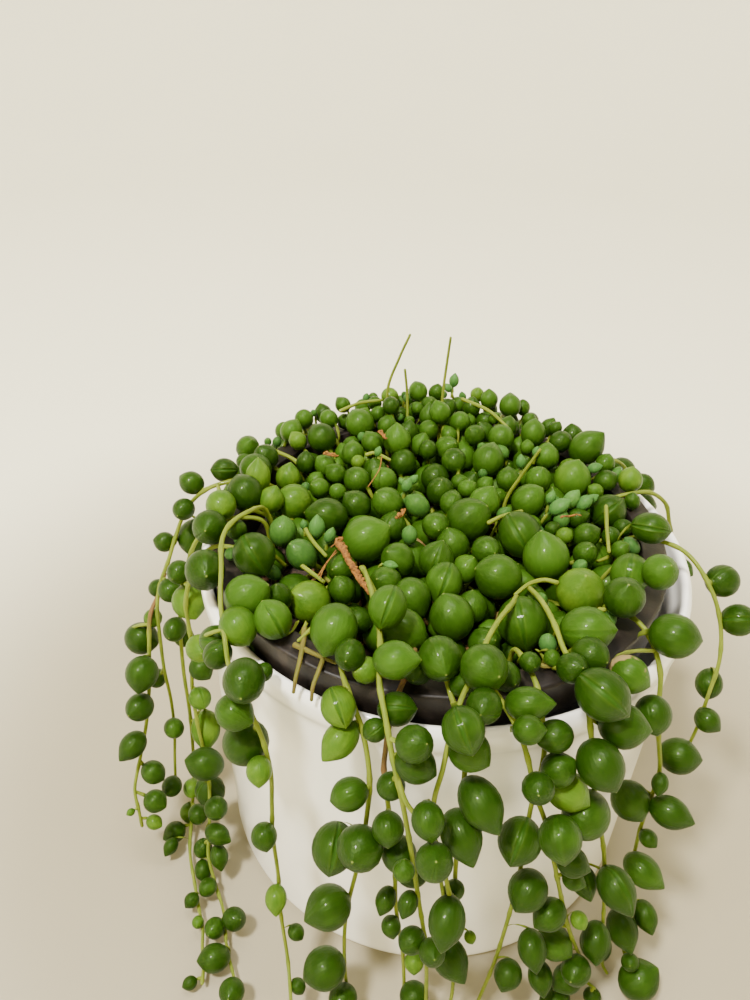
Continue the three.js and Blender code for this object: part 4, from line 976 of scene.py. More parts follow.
# %% Beads of the mound: column, row, diameter in mm and, where it has them, looks and tip
SEEN_MOUND = [
    (365, 540, 11.4, "", 60), (468, 520, 11.2), (546, 558, 11, "p", 350), (520, 534, 11, "w", 150),
    (586, 630, 11.4, "", 90), (580, 592, 10.8, "c", 20), (499, 577, 10.6, "", 290),
    (522, 622, 11, "w", 170), (452, 618, 10, "", 340), (440, 658, 10, "c", 160),
    (402, 630, 10, "", 120), (484, 668, 10, "c", 120), (624, 598, 10, "c", 20),
    (630, 574, 9.4, "w", 190), (334, 628, 11, "", 200), (247, 597, 10.6, "", 60),
    (254, 554, 10.6, "w", 150), (294, 502, 9.2, "y"), (310, 602, 9.6), (258, 478, 8.2, "yl", 0),
    (273, 620, 9, "w", 330), (328, 516, 9.6), (412, 596, 8.6, "p", 150), (388, 606, 9, "fw", 200),
    (444, 582, 9.2, "w", 200), (586, 448, 10.4, "p", 50), (572, 480, 9.8), (650, 528, 9, "w", 100),
    (674, 636, 10.4, "", 100), (436, 560, 8.2, "p", 20), (488, 461, 9.2), (394, 660, 8.8, "fp", 90),
    (660, 572, 8.6), (528, 501, 8.6), (388, 503, 8), (398, 560, 8.2), (397, 441, 8, "p", 0),
    (484, 503, 8, "", 30), (501, 438, 8), (533, 434, 8), (360, 424, 8.2), (302, 555, 7.6, "b"),
    (283, 532, 7.6, "b", 0), (357, 505, 7.4), (510, 406, 7.2), (386, 582, 7.2), (538, 480, 7),
    (357, 480, 7), (271, 500, 7, "yp", 20), (288, 478, 7.4, "yp", 10), (342, 568, 7), (436, 526, 7),
    (454, 461, 7), (546, 457, 7), (486, 550, 6.8), (440, 413, 6.8), (560, 442, 7), (384, 480, 6.8),
    (460, 422, 6.6), (429, 417, 6.6, "p", 0), (418, 392, 6.6), (353, 454, 6.4),
    (408, 433, 6.2, "p", 10), (508, 480, 6.4), (586, 536, 6.4), (366, 670, 6.2, "y"), (585, 554, 6),
    (336, 474, 6), (390, 397, 6, "y"), (372, 443, 6), (451, 503, 6), (329, 419, 6),
    (489, 400, 6, "p", 0), (326, 466, 6), (418, 506, 6, "b"), (605, 464, 5.8), (298, 441, 5.4, "y"),
    (343, 405, 5.2), (320, 488, 5.4), (338, 492, 5), (577, 518, 5), (477, 395, 4.8), (467, 489, 5),
    (564, 536, 4.8, "y"), (523, 408, 5), (620, 550, 5), (530, 662, 4.8), (529, 420, 4.4),
    (552, 529, 4.2), (358, 462, 4.2, "y"), (552, 658, 4), (222, 602, 9, "uy"), (238, 626, 9, "uy", 150),
    (262, 643, 7.4, "uy", 120), (289, 648, 6.6, "y"), (608, 512, 9.8, "d"), (344, 592, 9, "dw", 170),
    (245, 493, 9.6, "df"), (322, 438, 8.8, "d"), (414, 399, 7.8, "d"), (266, 457, 7.4, "d"),
    (435, 478, 7.6, "d"), (403, 463, 7.4, "d"), (360, 620, 6.4, "d"), (605, 481, 6.8, "d"),
    (510, 654, 6.2, "d"), (391, 406, 5.6, "d"), (306, 463, 6, "d", 0), (622, 528, 5.2, "d"),
    (279, 597, 6.4, "d"), (418, 668, 7, "d"), (462, 684, 6, "d"), (505, 676, 7, "d"),
    (572, 668, 7, "d"), (350, 655, 7, "d"), (590, 655, 8, "d"), (546, 676, 5, "d"),
]

# %% Beads of the hanging stems, from the back to the front
SEEN_HANGING = [
    (236, 529, 5.6, "d"), (221, 505, 8.2, "y"), (225, 470, 7, "w", 270), (192, 483, 7),
    (184, 509, 6.4, "d"), (165, 542, 6, "d", 280), (210, 527, 9.2), (194, 536, 10, "", 190),
    (205, 570, 10), (179, 572, 6, "d"), (158, 588, 5.4), (170, 590, 6.6, "d"),
    (189, 601, 8.9, "y", 160), (153, 618, 5, "y"), (175, 629, 6.6), (184, 637, 5.6),
    (157, 678, 5.6, "d"), (142, 673, 8.8, "d", 190), (141, 638, 9.2, "d", 110), (140, 707, 7.6, "d"),
    (218, 654, 6.6, "d"), (200, 648, 7.4, "y"), (215, 640, 7.2, "w", 90), (201, 668, 6.6, "d"),
    (200, 698, 6.4, "y"), (206, 728, 9.4, "yl", 180), (246, 742, 10.4, "d"), (234, 712, 8, "", 120),
    (244, 680, 9.5, "c", 190), (174, 728, 5.8), (133, 745, 7.4, "dl", 220), (153, 772, 6.8, "d"),
    (155, 801, 6.4, "d", 120), (172, 786, 6, "d"), (259, 770, 6, "y", 180), (154, 822, 4.4, "y", 120),
    (131, 812, 2.4, "y"), (175, 832, 6, "d"), (171, 846, 4.4, "dl", 210), (216, 808, 6.8, "d"),
    (210, 790, 9.4, "d"), (206, 764, 10, "", 280), (192, 788, 5.6, "y"), (189, 812, 5.6, "y", 180),
    (198, 814, 6.2, "d"), (217, 834, 6.8, "dl", 120), (219, 856, 6, "dl", 170), (203, 848, 6, "d"),
    (203, 870, 5.4, "dl", 170), (208, 887, 5.2), (192, 900, 4.4, "d", 220), (198, 922, 3.6, "y"),
    (215, 928, 5.8), (234, 919, 6.8), (215, 958, 7.8, "d", 260), (190, 983, 3.8, "d", 240),
    (232, 991, 7, "d"), (264, 836, 6.2, "", 170), (276, 898, 6, "yl", 180), (296, 932, 4.4, "d", 140),
    (298, 986, 4, "d", 150), (350, 794, 8.2), (360, 848, 11, "d"), (334, 847, 11.4, "w", 190),
    (338, 706, 8.6, "yw", 160), (341, 739, 8.8, "yl", 220), (329, 907, 11.4, "d", 240),
    (325, 968, 11.4, "d"), (343, 998, 8, "d"), (375, 730, 5, "d"), (415, 764, 8.6, "d"),
    (396, 709, 8.2, "fw", 90), (414, 744, 8.2, "c", 90), (391, 786, 6.6, "d"), (399, 854, 8.8, "d"),
    (388, 828, 7.6, "", 180), (434, 862, 8.6, "d"), (428, 820, 7.4, "", 170),
    (461, 834, 10.4, "dl", 160), (480, 802, 11, "l", 150), (484, 706, 7.8, "d"),
    (463, 729, 9.2, "fw", 160), (447, 920, 9.8, "dl", 190), (454, 890, 5), (470, 937, 3, "y", 160),
    (449, 957, 10, "dl", 150), (386, 899, 6, "dl", 200), (404, 871, 5, "", 0),
    (408, 903, 5.4, "l", 200), (391, 926, 5.2, "", 170), (412, 940, 6.8, "d"), (422, 943, 3.4),
    (432, 952, 7, "d"), (414, 962, 5.4, "y", 180), (414, 996, 8), (520, 840, 11, "dw", 200),
    (528, 890, 10, "d", 210), (532, 948, 8.6, "dl", 170), (508, 974, 7.8, "d", 200),
    (540, 976, 7.6, "dl", 170), (560, 838, 10, "", 170), (572, 862, 7.2), (583, 880, 7.6, "dl", 160),
    (573, 880, 5.2), (550, 914, 8.6, "d"), (554, 942, 9.4, "", 130), (579, 920, 4.4, "y", 150),
    (568, 978, 8.4, "d"), (576, 970, 8.4), (596, 940, 9, "dl", 180), (538, 788, 7.4, "d"),
    (527, 704, 8.8, "fl", 90), (528, 730, 6.6, "", 90), (556, 736, 8, "", 250), (566, 790, 9.6, "y"),
    (558, 770, 8, "", 60), (628, 674, 8.6, "fs", 120), (600, 764, 11, "", 150),
    (622, 726, 10.6, "", 100), (602, 694, 11.8, "w", 130), (630, 800, 10.6, "", 150), (586, 814, 11.6),
    (653, 714, 8.8, "d", 170), (660, 783, 4.6, "dl", 190), (678, 756, 10.4, "", 100),
    (709, 683, 7.4, "d", 190), (707, 720, 7, "d", 130), (669, 812, 9.6, "l", 115), (648, 838, 4.8, "d"),
    (642, 870, 10, "l", 130), (616, 888, 10.4, "dl", 150), (645, 915, 7.8, "l", 160),
    (622, 928, 9.8, "dl", 160), (638, 980, 11.8, "", 60), (630, 962, 5.2, "d"), (592, 996, 5.4, "d"),
    (652, 708, 3), (722, 581, 8.8, "d"), (264, 672, 4, "", 200), (738, 620, 8.6, "dw", 90),
    (555, 1000, 9, "d"), (231, 554, 3.4, "b"),
]

# Beside the photograph, the larger beads of the left came out a little small as read, and those of the
# lower front a little large. These shares set them right.
FAR_LEFT_COLUMN = 190
LEFT_COLUMN = 250
LEFT_ROW = 560
LEFT_LEAST = 4.0
FRONT_COLUMN = 300
FRONT_ROW = 690
FRONT_LEAST = 5.0
FAR_LEFT_SHARE = 1.08
LEFT_SHARE = 1.03
FRONT_SHARE = 0.94


def hanging_diameter(column, row, diameter):
    """The diameter of a hanging bead as read, put right by the share of its part of the picture."""
    share = 1.0
    if column < LEFT_COLUMN and row > LEFT_ROW and diameter > LEFT_LEAST:
        share = FAR_LEFT_SHARE if column < FAR_LEFT_COLUMN else LEFT_SHARE
    elif column >= FRONT_COLUMN and row > FRONT_ROW and diameter > FRONT_LEAST:
        share = FRONT_SHARE
    return round(diameter * share, 1)


# %% Sight lines of the camera
PICTURE_WIDTH, PICTURE_HEIGHT = 750, 1000
SENSOR = 36.0
FOCAL = CAMERA_LENS / SENSOR * PICTURE_HEIGHT
EYE = np.array(CAMERA_PLACE) / MM


def picture_of(points):
    """Column and row in the picture, and depth along the view in mm, of one point or of rows of them."""
    right, up, back = CAMERA_TURN.T @ (points - EYE).T
    return PICTURE_WIDTH / 2 - FOCAL * right / back, PICTURE_HEIGHT / 2 + FOCAL * up / back, -back


def sight(column, row):
    """The direction from the camera through a place in the picture."""
    across = (column - PICTURE_WIDTH / 2) / FOCAL
    up = (PICTURE_HEIGHT / 2 - row) / FOCAL
    return unit(CAMERA_TURN @ np.array((across, up, -1.0)))


# %% Settling a bead on its sight line
CROWN_TOP = 110.5
CROWN_RISE = 4.0
CROWN_SLOPE = 0.0009
RISE_START = 5.0
RISE_LENGTH = 50.0
SIGHT_STEPS = np.arange(100.0, 420.0, 0.5)
DARK_SINK = 3.0
UNDER_SINK = 2.5
MOUND_SLIDES = [0, 0.7, 1.4, 2.2, 3, 4, 5, -0.8, -1.6, 6, 7, -2.4, -3.4, 8, -4.4, -5.4, -6.6, -8, -9.5,
    -11, -13]
FRONT_SLIDES = [*range(0, -15, -1), -16, 1, 2]
PLANTER_SEEN_RADIUS = 60.0
HANGING_SLIDES = [0, 1, 2, -1, 3, 4, -2, -3, 6, 8, -4, -5, -6, -7, -8, -9, -10, -12, -14]
SEEN_NESTLE = 0.93
SEEN_MISS = -2.6
SEEN_SETTLED = -0.05
SEEN_STEM_ROOM = 0.3
SEEN_ROOT = 2.5
POT_WEIGHT = 4.0
TIP_REACH = 1.2
FRONT_REACH = 92.0
USUAL_FACING = 0.35
TIP_FACING = 1.5
STEM_SEARCH = 3.0


def fill_ceiling(x, y):
    """The highest centre of a bead at a place: the mound rises to the back and falls to the sides."""
    back = np.clip((y - RISE_START) / RISE_LENGTH, 0, 1)
    return CROWN_TOP + CROWN_RISE * back - CROWN_SLOPE * (x * x + np.minimum(y, 0) ** 2)


def mound_distance(way, sink):
    """How far from the camera a sight line meets the mound, sunk by a little."""
    points = EYE + SIGHT_STEPS[:, None] * way
    under = points[:, 2] < fill_ceiling(points[:, 0], points[:, 1]) - sink
    return SIGHT_STEPS[np.argmax(under)] if under.any() else None


def spare_room(thicket, centre, radius, nestle):
    """How much room a ball has to its neighbours: negative where it cuts into one or into a pot."""
    room = -POT_WEIGHT * np.linalg.norm(push_clear(centre, radius) - centre)
    over_floor = centre[2] - radius
    behind_front = centre[1] - radius * TIP_REACH + FRONT_REACH
    room = min(room, POT_WEIGHT * over_floor, POT_WEIGHT * behind_front)
    stems = np.linalg.norm(thicket.stem_points - centre, axis=1) - radius - SEEN_STEM_ROOM
    room = min(room, stems.min())
    if len(thicket.radii):
        apart = np.linalg.norm(thicket.centres - centre, axis=1) - (radius + thicket.radii) * nestle
        room = min(room, apart.min())
    return room


def settle(thicket, way, start, radius, slides):
    """The first place along a sight line with room for a bead, or the best one if it nearly fits."""
    best_room, best = SEEN_MISS, None
    for slide in slides:
        centre = EYE + way * (start + slide)
        room = spare_room(thicket, centre, radius, SEEN_NESTLE)
        if room > SEEN_SETTLED:
            return centre
        if room > best_room:
            best_room, best = room, centre
    return best


def tip_direction(way, looks, degrees):
    """The direction of a tip so many degrees clockwise from up in the picture, leaning to the camera."""
    if degrees is None:
        return None
    right, up, _ = CAMERA_TURN.T
    turn = math.radians(degrees)
    lean = TIP_FACING if "c" in looks else USUAL_FACING
    return unit(right * math.sin(turn) + up * math.cos(turn) - way * lean)


def is_in_pot(points):
    """Which points lie inside the planter and below its lip, where the photograph can't show them."""
    return (points[:, 2] < LIP_TOP) & (np.hypot(points[:, 0], points[:, 1]) < PLANTER_SEEN_RADIUS)


def nearest_stem(column, row, above):
    """The name and the point of the front's stem nearest to the place so far above one in the picture."""
    best = None
    for name in STRANDS:
        for line, _ in STEMS[name]:
            columns, rows, _ = picture_of(line.samples)
            apart = np.hypot(columns - column, rows - row + above)
            apart[is_in_pot(line.samples)] = np.inf
            i = int(np.argmin(apart))
            if best is None or apart[i] < best[0]:
                best = (apart[i], name, line.samples[i])
    return best[1], best[2]


# %% Stems that hang in front of the others
STEM_SLIDES = {
    "front_long": 4.5,
    "left_front": 11.0,
    "front_arch": 3.0,
    "front_right": 4.0,
    "right_front": 3.0,
}
SLIDE_RUN = 12.0
# The single stem at the left is cut back to what the photograph shows of it, four sixths of its length.
SINGLE_PARTS = 6
SINGLE_SHOWN = 4


def slide_line(line, reach, whole):
    """The same stem nearer to the camera: each point moves along its sight line, so it looks the same."""
    points = line.padded[1:-1]
    towards = EYE - points
    towards /= np.linalg.norm(towards, axis=1)[:, None]
    share = np.ones(len(points)) if whole else np.clip(running(points) / SLIDE_RUN, 0, 1)
    return StemLine(points + towards * (share * reach)[:, None])


single, single_beads = STEMS["left_single"][0]
shown = single.evenly(SINGLE_PARTS)[: SINGLE_SHOWN + 1]
STEMS["left_single"][0] = (StemLine(shown), single_beads)
for name, reach in STEM_SLIDES.items():
    main = 1 if "join" in STRANDS[name] else 0
    for index, (line, beads) in enumerate(STEMS[name]):
        if index >= main:
            STEMS[name][index] = (slide_line(line, reach, index > main), beads)
print("stems nearer to the camera:", list(STEM_SLIDES))

# %% Place the seen beads
MATCH_REACH = 0.55
MATCH_DEPTH = 18.0
BLUISH_YOUTH = 0.45
grown = thicket.beads
thicket = bare_thicket()
grown_places = [picture_of(bead.centre) for bead in grown]
matched = set()


def match(owner, column, row, radius, depth):
    """The unmatched bead of the CAD part that stands for a seen one, if there is one near it."""
    best, found = MATCH_REACH, None
    for index, bead in enumerate(grown):
        if index in matched or bead.owner != owner:
            continue
        far, down, behind = grown_places[index]
        if abs(behind - depth) > MATCH_DEPTH:
            continue
        apart = math.hypot(far - column, down - row) / (2 * radius * FOCAL / depth)
        if apart < best:
            best, found = apart, index
    return found


def mound_root(centre, radius):
    """Where the stalk of a bead of the mound begins: under it, a little further in."""
    distance = math.hypot(centre[0], centre[1])
    inward = max(0.0, 1 - (radius + SEEN_ROOT) / distance)
    root = np.array((centre[0] * inward, centre[1] * inward, centre[2] - radius - SEEN_ROOT))
    if distance > MOUTH_RADIUS:
        root[2] = max(root[2], LIP_TOP + SEEN_STEM_ROOM)
    return root


def seat_seen(column, row, radius, looks, tip, hangs):
    """Settles a seen bead on its sight line, and returns whether it found room."""
    way = sight(column, row)
    if hangs:
        owner, root = nearest_stem(column, row, radius * STEM_SEARCH)
        start = float(np.dot(root - EYE, way))
    else:
        owner = "crown"
        start = mound_distance(way, UNDER_SINK if "u" in looks else DARK_SINK if "d" in looks else 0.0)
    slides = FRONT_SLIDES if "f" in looks else HANGING_SLIDES if hangs else MOUND_SLIDES
    centre = settle(thicket, way, start, radius, slides)
    if centre is None:
        return False
    index = match(owner, column, row, radius, picture_of(centre)[2])
    matched.add(index)
    if not hangs:
        owner = "crown_fill" if index is None else "crown"
        root = mound_root(centre, radius)
    youth = BLUISH_YOUTH * ("b" in looks)
    thicket.add(Bead(owner, root, centre, radius, youth, looks, tip_direction(way, looks, tip)))
    return True


def seat_on_mound(column, row, diameter, looks="", tip=None):
    return seat_seen(column, row, diameter / 2, looks, tip, False)


def seat_on_stem(column, row, diameter, looks="", tip=None):
    return seat_seen(column, row, hanging_diameter(column, row, diameter) / 2, looks, tip, True)


missed = [seen[:2] for seen in SEEN_MOUND if not seat_on_mound(*seen)]
missed += [seen[:2] for seen in SEEN_HANGING if not seat_on_stem(*seen)]
seen_count = len(thicket.beads)
print("seen beads placed:", seen_count, "missed:", missed)

# %% Keep the hidden beads of the CAD part
PICTURE_EDGE = 20
BACK_EDGE = 103.0
KEEP_NESTLE = 0.9
CROWN_PRESS = -0.4
STEM_PRESS = -0.6
# Places where the photographed plant is open, as column, row and reach.
SEEN_OPEN = [(283, 573, 16), (241, 631, 15), (263, 646, 17), (296, 640, 14), (682, 535, 30)]


def is_hidden(place):
    """Whether a place in the picture lies outside it or behind a seen bead."""
    column, row, depth = place
    inside = -PICTURE_EDGE < column < PICTURE_WIDTH + PICTURE_EDGE
    if not (inside and row < PICTURE_HEIGHT + PICTURE_EDGE):
        return True
    columns, rows, depths = picture_of(thicket.centres[:seen_count])
    covers = np.hypot(columns - column, rows - row) < thicket.radii[:seen_count] * FOCAL / depths
    return bool((covers & (depths < depth)).any())


def is_clear(place):
    """Whether the photographed plant is open at this place of the picture."""
    return any(math.hypot(place[0] - column, place[1] - row) < reach for column, row, reach in SEEN_OPEN)


for index, bead in enumerate(grown):
    if index in matched or is_clear(grown_places[index]):
        continue
    if bead.owner in STRANDS or bead.owner == "crown":
        room = spare_room(thicket, bead.centre, bead.radius, KEEP_NESTLE)
        on_crown = bead.owner == "crown"
        fits = room > CROWN_PRESS if on_crown else room > STEM_PRESS and is_hidden(grown_places[index])
    else:
        fits = bead.centre[2] < BACK_EDGE
    if fits:
        thicket.add(bead)
print("beads with the other ones of the CAD part:", len(thicket.beads))

# %% [markdown]
# ## More beads on the stems of the back
# The CAD part spaces the beads of the hidden side widely. Real stems there are as leafy as those of the
# front, so smaller beads take the free places between them, on alternate sides of each stem.

# %% Beads between those of the back
BACK_GAP = 4.6
BACK_RADII = (2.3, 4.3)
BACK_NECK = 1.2
BACK_HANG = 0.35
BACK_WANDER = 1.0
BACK_FORWARD = (0.2, 1.0)
BACK_PRESS = -0.5
CROWDING_SEED = 23
back_random = np.random.default_rng(CROWDING_SEED)


def crowd_stem(name, line):
    """Adds beads along a stem wherever one has room."""
    side = 1
    for step in range(1, round(line.length / BACK_GAP)):
        root, _ = line.along(step * BACK_GAP + back_random.uniform(-BACK_WANDER, BACK_WANDER))
        radius = back_random.uniform(*BACK_RADII)
        forward = back_random.uniform(*BACK_FORWARD)
        if root[2] > BACK_EDGE:
            continue
        outward = unit(np.array((root[0], root[1], 0.0)))
        for turn in (side, -side):
            across = np.cross(outward, (0, 0, 1)) * turn
            heading = unit(outward * forward + across - np.array((0, 0, BACK_HANG)))
            centre = push_clear(root + heading * (radius + BACK_NECK), radius)
            if is_clear(picture_of(centre)):
                continue
            if spare_room(thicket, centre, radius, KEEP_NESTLE) > BACK_PRESS:
                thicket.add(Bead(name, root, centre, radius))
                side = -turn
                break


for name, pairs in STEMS.items():
    if name not in STRANDS:
        for line, _ in pairs:
            crowd_stem(name, line)
print("beads with those of the back stems:", len(thicket.beads))

# %% [markdown]
# ## More beads than the CAD part has
# The CAD solids may hold only few faces, so their crown has far fewer beads than the real one. Here more
# are placed at random in the mound wherever they fit: big ones first, then smaller ones in the gaps, as
# stones of several sizes fill a jar. Beads are smaller towards the back. The young ones are narrower and a
# little blue.

# %% Fill the crown
FILL_SEED = 11
FILL_CENTRE = (-3.5, 3.5)
FILL_RADIUS = 58.0
FILL_DEPTH = 11.0
FILL_PASSES = [(9000, 4.3, 5.4), (9000, 3.5, 4.5), (5000, 2.5, 3.4)]
FILL_SHRINK = 0.007
FILL_NESTLE = 0.93
FILL_ROOT = 4.0
FILL_STEM_ROOM = 0.7
FILL_SETTLED = 0.2
FILL_OVER = 1.0
YOUNG_ATTEMPTS = 500
YOUNG_RADIUS = (1.5, 1.1)
YOUNG_DEPTH = 2.0
YOUNG_LEAST = 0.5
CROWN_GROWTH = 1.09
OPENING = (-37.0, -17.0, 9.0)
OPENING_OVERLAP = 0.5


def in_opening(x, y, radius):
    """Whether a bead would cover the one place where the photograph shows the soil."""
    middle_x, middle_y, reach = OPENING
    return math.hypot(x - middle_x, y - middle_y) < reach + radius * OPENING_OVERLAP


def place_fill(thicket, radius, depth, youth):
    """Places one more bead at random in the mound, if it clears the stems and beads there."""
    angle = 2 * math.pi * fill_random.random()
    distance = FILL_RADIUS * math.sqrt(fill_random.random())
    x = FILL_CENTRE[0] + distance * math.cos(angle)
    y = FILL_CENTRE[1] + distance * math.sin(angle)
    radius = radius * (1 - FILL_SHRINK * y)
    height = fill_ceiling(x, y) - depth * fill_random.random()
    centre = push_clear(np.array((x, y, height)), radius)
    if centre[2] > fill_ceiling(centre[0], centre[1]) + FILL_OVER or in_opening(x, y, radius):
        return
    if np.linalg.norm(push_clear(centre, radius) - centre) > FILL_SETTLED:
        return
    if centre[2] < LIP_TOP and math.hypot(centre[0], centre[1]) > MOUTH_RADIUS:
        return
    if (np.linalg.norm(thicket.stem_points - centre, axis=1) < radius + FILL_STEM_ROOM).any():
        return
    apart = np.linalg.norm(thicket.centres - centre, axis=1)
    if (apart < (radius + thicket.radii) * FILL_NESTLE).any():
        return
    drift = fill_random.uniform(-1, 1, 3) * (radius, radius, 0)
    root = centre + drift - (0, 0, radius + FILL_ROOT)
    thicket.add(Bead("crown_fill", root, centre, radius, youth))


fill_random = np.random.default_rng(FILL_SEED)
for index, bead in enumerate(thicket.beads):
    if bead.owner == "crown":
        bead.radius *= CROWN_GROWTH
        thicket.radii[index] = bead.radius
for attempts, smallest, largest in FILL_PASSES:
    for _ in range(attempts):
        place_fill(thicket, fill_random.uniform(smallest, largest), FILL_DEPTH, 0.0)
    print("beads after the fill of", smallest, "to", largest, "mm radius:", len(thicket.beads))
for _ in range(YOUNG_ATTEMPTS):
    radius = YOUNG_RADIUS[0] + YOUNG_RADIUS[1] * fill_random.random()
    youth = YOUNG_LEAST + (1 - YOUNG_LEAST) * fill_random.random()
    place_fill(thicket, radius, YOUNG_DEPTH, youth)
print("beads with the young ones:", len(thicket.beads))

# %% [markdown]
# ## Gathering a piece
# A stem with its beads is one piece of many small closed forms. Making an object for each would be slow,
# so a piece first gathers all its points and faces, and one mesh is made at the end. Every point also
# carries two vectors that the finish reads: where it is on its bead, and what kind of thing it belongs to.

# %% A piece in the making
class Piece:
    """Points, faces and the two vectors of each point, until the mesh is made.

    on_bead is (towards the window, across it, along the bead's axis) in radii of the bead.
    nature is (a random number of the bead or stem, how young it is, and what it is: minus the strength
    of a bead's window, 1 for a stem, 2 for old wood).
    """

    def __init__(self):
        self.points, self.faces, self.on_bead, self.nature = [], [], [], []
        self.count = 0

    def add(self, points, faces, on_bead, nature):
        self.faces.extend([[corner + self.count for corner in face] for face in faces])
        self.points.append(points)
        self.on_bead.append(np.broadcast_to(on_bead, points.shape))
        self.nature.append(np.broadcast_to(nature, points.shape))
        self.count += len(points)

    def make(self, name, finish, slot, *nodes):
        """Makes the object, which rides on the one body and stands for the CAD nodes."""
        points = (np.vstack(self.points) * MM).tolist()
        piece = new_object(name, points, self.faces, finish)
        for label, rows in (("on_bead", self.on_bead), ("nature", self.nature)):
            layer = piece.data.attributes.new(label, "FLOAT_VECTOR", "POINT")
            layer.data.foreach_set("vector", np.vstack(rows).astype(np.float32).ravel())
        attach(piece, "root")
        if nodes:
            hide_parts(*nodes)
        triangles = sum(len(face) - 2 for face in self.faces)
        print(name, "has", triangles, "triangles")


def ring_faces(rings, sides):
    """Faces of a skin of rings with one closing point at each end: the last two points."""
    faces = []
    for ring in range(rings - 1):
        for side in range(sides):
            near, far = ring * sides + side, ring * sides + (side + 1) % sides
            faces.append([near, far, far + sides, near + sides])
    foot, top = rings * sides, rings * sides + 1
    last = (rings - 1) * sides
    for side in range(sides):
        following = (side + 1) % sides
        faces.append([foot, following, side])
        faces.append([top, last + side, last + following])
    return faces


# %% [markdown]
# ## The shape of a bead
# A bead leaf is nearly a ball. Its far end draws out to a short point, and a thin neck joins its near end
# to the stem. A sphere with a spike would show a seam, so the whole leaf is one skin of rings: a few along
# the bent neck, then rings from the base round to the point. Along one side runs the window, a slit of
# clear tissue: a shallow groove between two low lips. The points of a ring lie closer together there.

# %% Numbers of a bead's shape, in radii and radians
BEAD_ANGLES = [0.16, 0.34, 0.6, 0.88, 1.16, 1.44, 1.72, 2.0, 2.25, 2.47, 2.66, 2.82, 2.95, 3.05]
FINE_HALF = [0.0, 0.09, 0.2, 0.36, 0.62, 0.94, 1.26, 1.6, 1.94, 2.3, 2.7]
PLAIN_HALF = [0.0, 0.12, 0.28, 0.62, 1.05, 1.5, 2.0, 2.55]
STRETCH = (0.98, 1.06)
WAIST = (0.94, 1.02)
POINT = (0.06, 0.18)
PINCH = (0.0, 0.12)
YOUNG_STRETCH = 0.16
YOUNG_WAIST = 0.10
YOUNG_POINT = 0.06
SHARP_POINT = 0.10
LONG_STRETCH = 1.1
LONG_WAIST = 0.92
LONG_POINT = 0.26
POINT_WIDTH = 0.40
SPIKE = 0.06
SPIKE_WIDTH = 0.14
SPIKE_LENGTH = 0.07
GROOVE = 0.013
GROOVE_WIDTH = 0.10
LIP_RIDGE = 0.007
LIP_PLACE = 0.23
LIP_WIDTH = 0.13
NECK_RINGS = 4
NECK_RADIUS = 0.5
NECK_LEAST = 0.7
NECK_GROWTH = 0.08
NECK_FLARE = 0.7
NECK_SINK = 0.97
NECK_BEND = 0.25
NECK_PLACE = -2.2
NECK_REACH = 0.1

# %% How a bead's axis, window and shade vary
BEAD_SEED = 5
AXIS_LEAN = 0.6
WINDOW_LEAN = 1.1
SHOWN_LEAN = 0.12
WINDOW_OUT = 0.8
WINDOW_UP = 0.7
WINDOW_SPREAD = 0.15
OPEN_SHARE = 0.22
OPEN_STRENGTH = (0.3, 0.8)
CLOSED_STRENGTH = (0, 0.12)
PLAIN_SHARE = 0.85
PLAIN_KIND = (-0.1, 0.56)
ANY_KIND = (0.0, 0.95)
# Beads on the stems get a darker range: partly a darker green, partly painted shade for the less light
# under the crown.
HANGING_SHADED_KIND = (-0.24, 0.14)
LOOKS_KIND = {"d": (-0.25, -0.05), "y": (0.75, 0.92), "s": (0.965, 1.0)}
bead_random = np.random.default_rng(BEAD_SEED)


def full_turn(half):
    """The angles round a ring from those of one half, the last of which is followed by the far side."""
    return np.array([*half, math.pi, *[2 * math.pi - angle for angle in reversed(half[1:])]])


FINE_TURN = full_turn(FINE_HALF)
PLAIN_TURN = full_turn(PLAIN_HALF)


def bead_frame(bead, axis, outward):
    """Two directions across a bead: towards its window, and sideways."""
    lean = bead_random.uniform(-WINDOW_LEAN, WINDOW_LEAN)
    upward = np.array((0, 0, WINDOW_UP))
    facing = outward * WINDOW_OUT + upward + bead_random.normal(0, WINDOW_SPREAD, 3)
    if "w" in bead.looks:
        lean *= SHOWN_LEAN
        facing = unit(EYE - bead.centre)
    window = unit(facing - axis * np.dot(facing, axis))
    side = np.cross(axis, window)
    return window * math.cos(lean) + side * math.sin(lean), side * math.cos(lean) - window * math.sin(lean)


def bead_kind(bead):
    """The random number of a bead that its shade follows, within the range of its looks."""
    low, high = PLAIN_KIND if bead_random.random() < PLAIN_SHARE else ANY_KIND
    # Beads on the stems are darker: partly their own green, partly painted shade.
    if bead.owner in STEMS:
        low, high = HANGING_SHADED_KIND
    for letter, span in LOOKS_KIND.items():
        if letter in bead.looks:
            low, high = span
    return bead_random.uniform(low, high)


def window_strength(bead):
    """How clearly a bead's window shows: 1 where the photograph shows it, and mostly little elsewhere."""
    if "w" in bead.looks:
        return 1.0
    span = OPEN_STRENGTH if bead_random.random() < OPEN_SHARE else CLOSED_STRENGTH
    return bead_random.uniform(*span)


# %% Rings of a bead
def bead_form(bead):
    """How a bead departs from a ball: its stretch, waist, point, pinch and squeeze."""
    stretch = bead_random.uniform(*STRETCH) + YOUNG_STRETCH * bead.youth
    waist = bead_random.uniform(*WAIST) - YOUNG_WAIST * bead.youth
    point = bead_random.uniform(*POINT) + YOUNG_POINT * bead.youth + SHARP_POINT * ("p" in bead.looks)
    pinch = bead_random.uniform(*PINCH)
    if "l" in bead.looks:
        return LONG_STRETCH, waist, LONG_POINT, pinch, LONG_WAIST
    return stretch, waist, point, pinch, 1.0


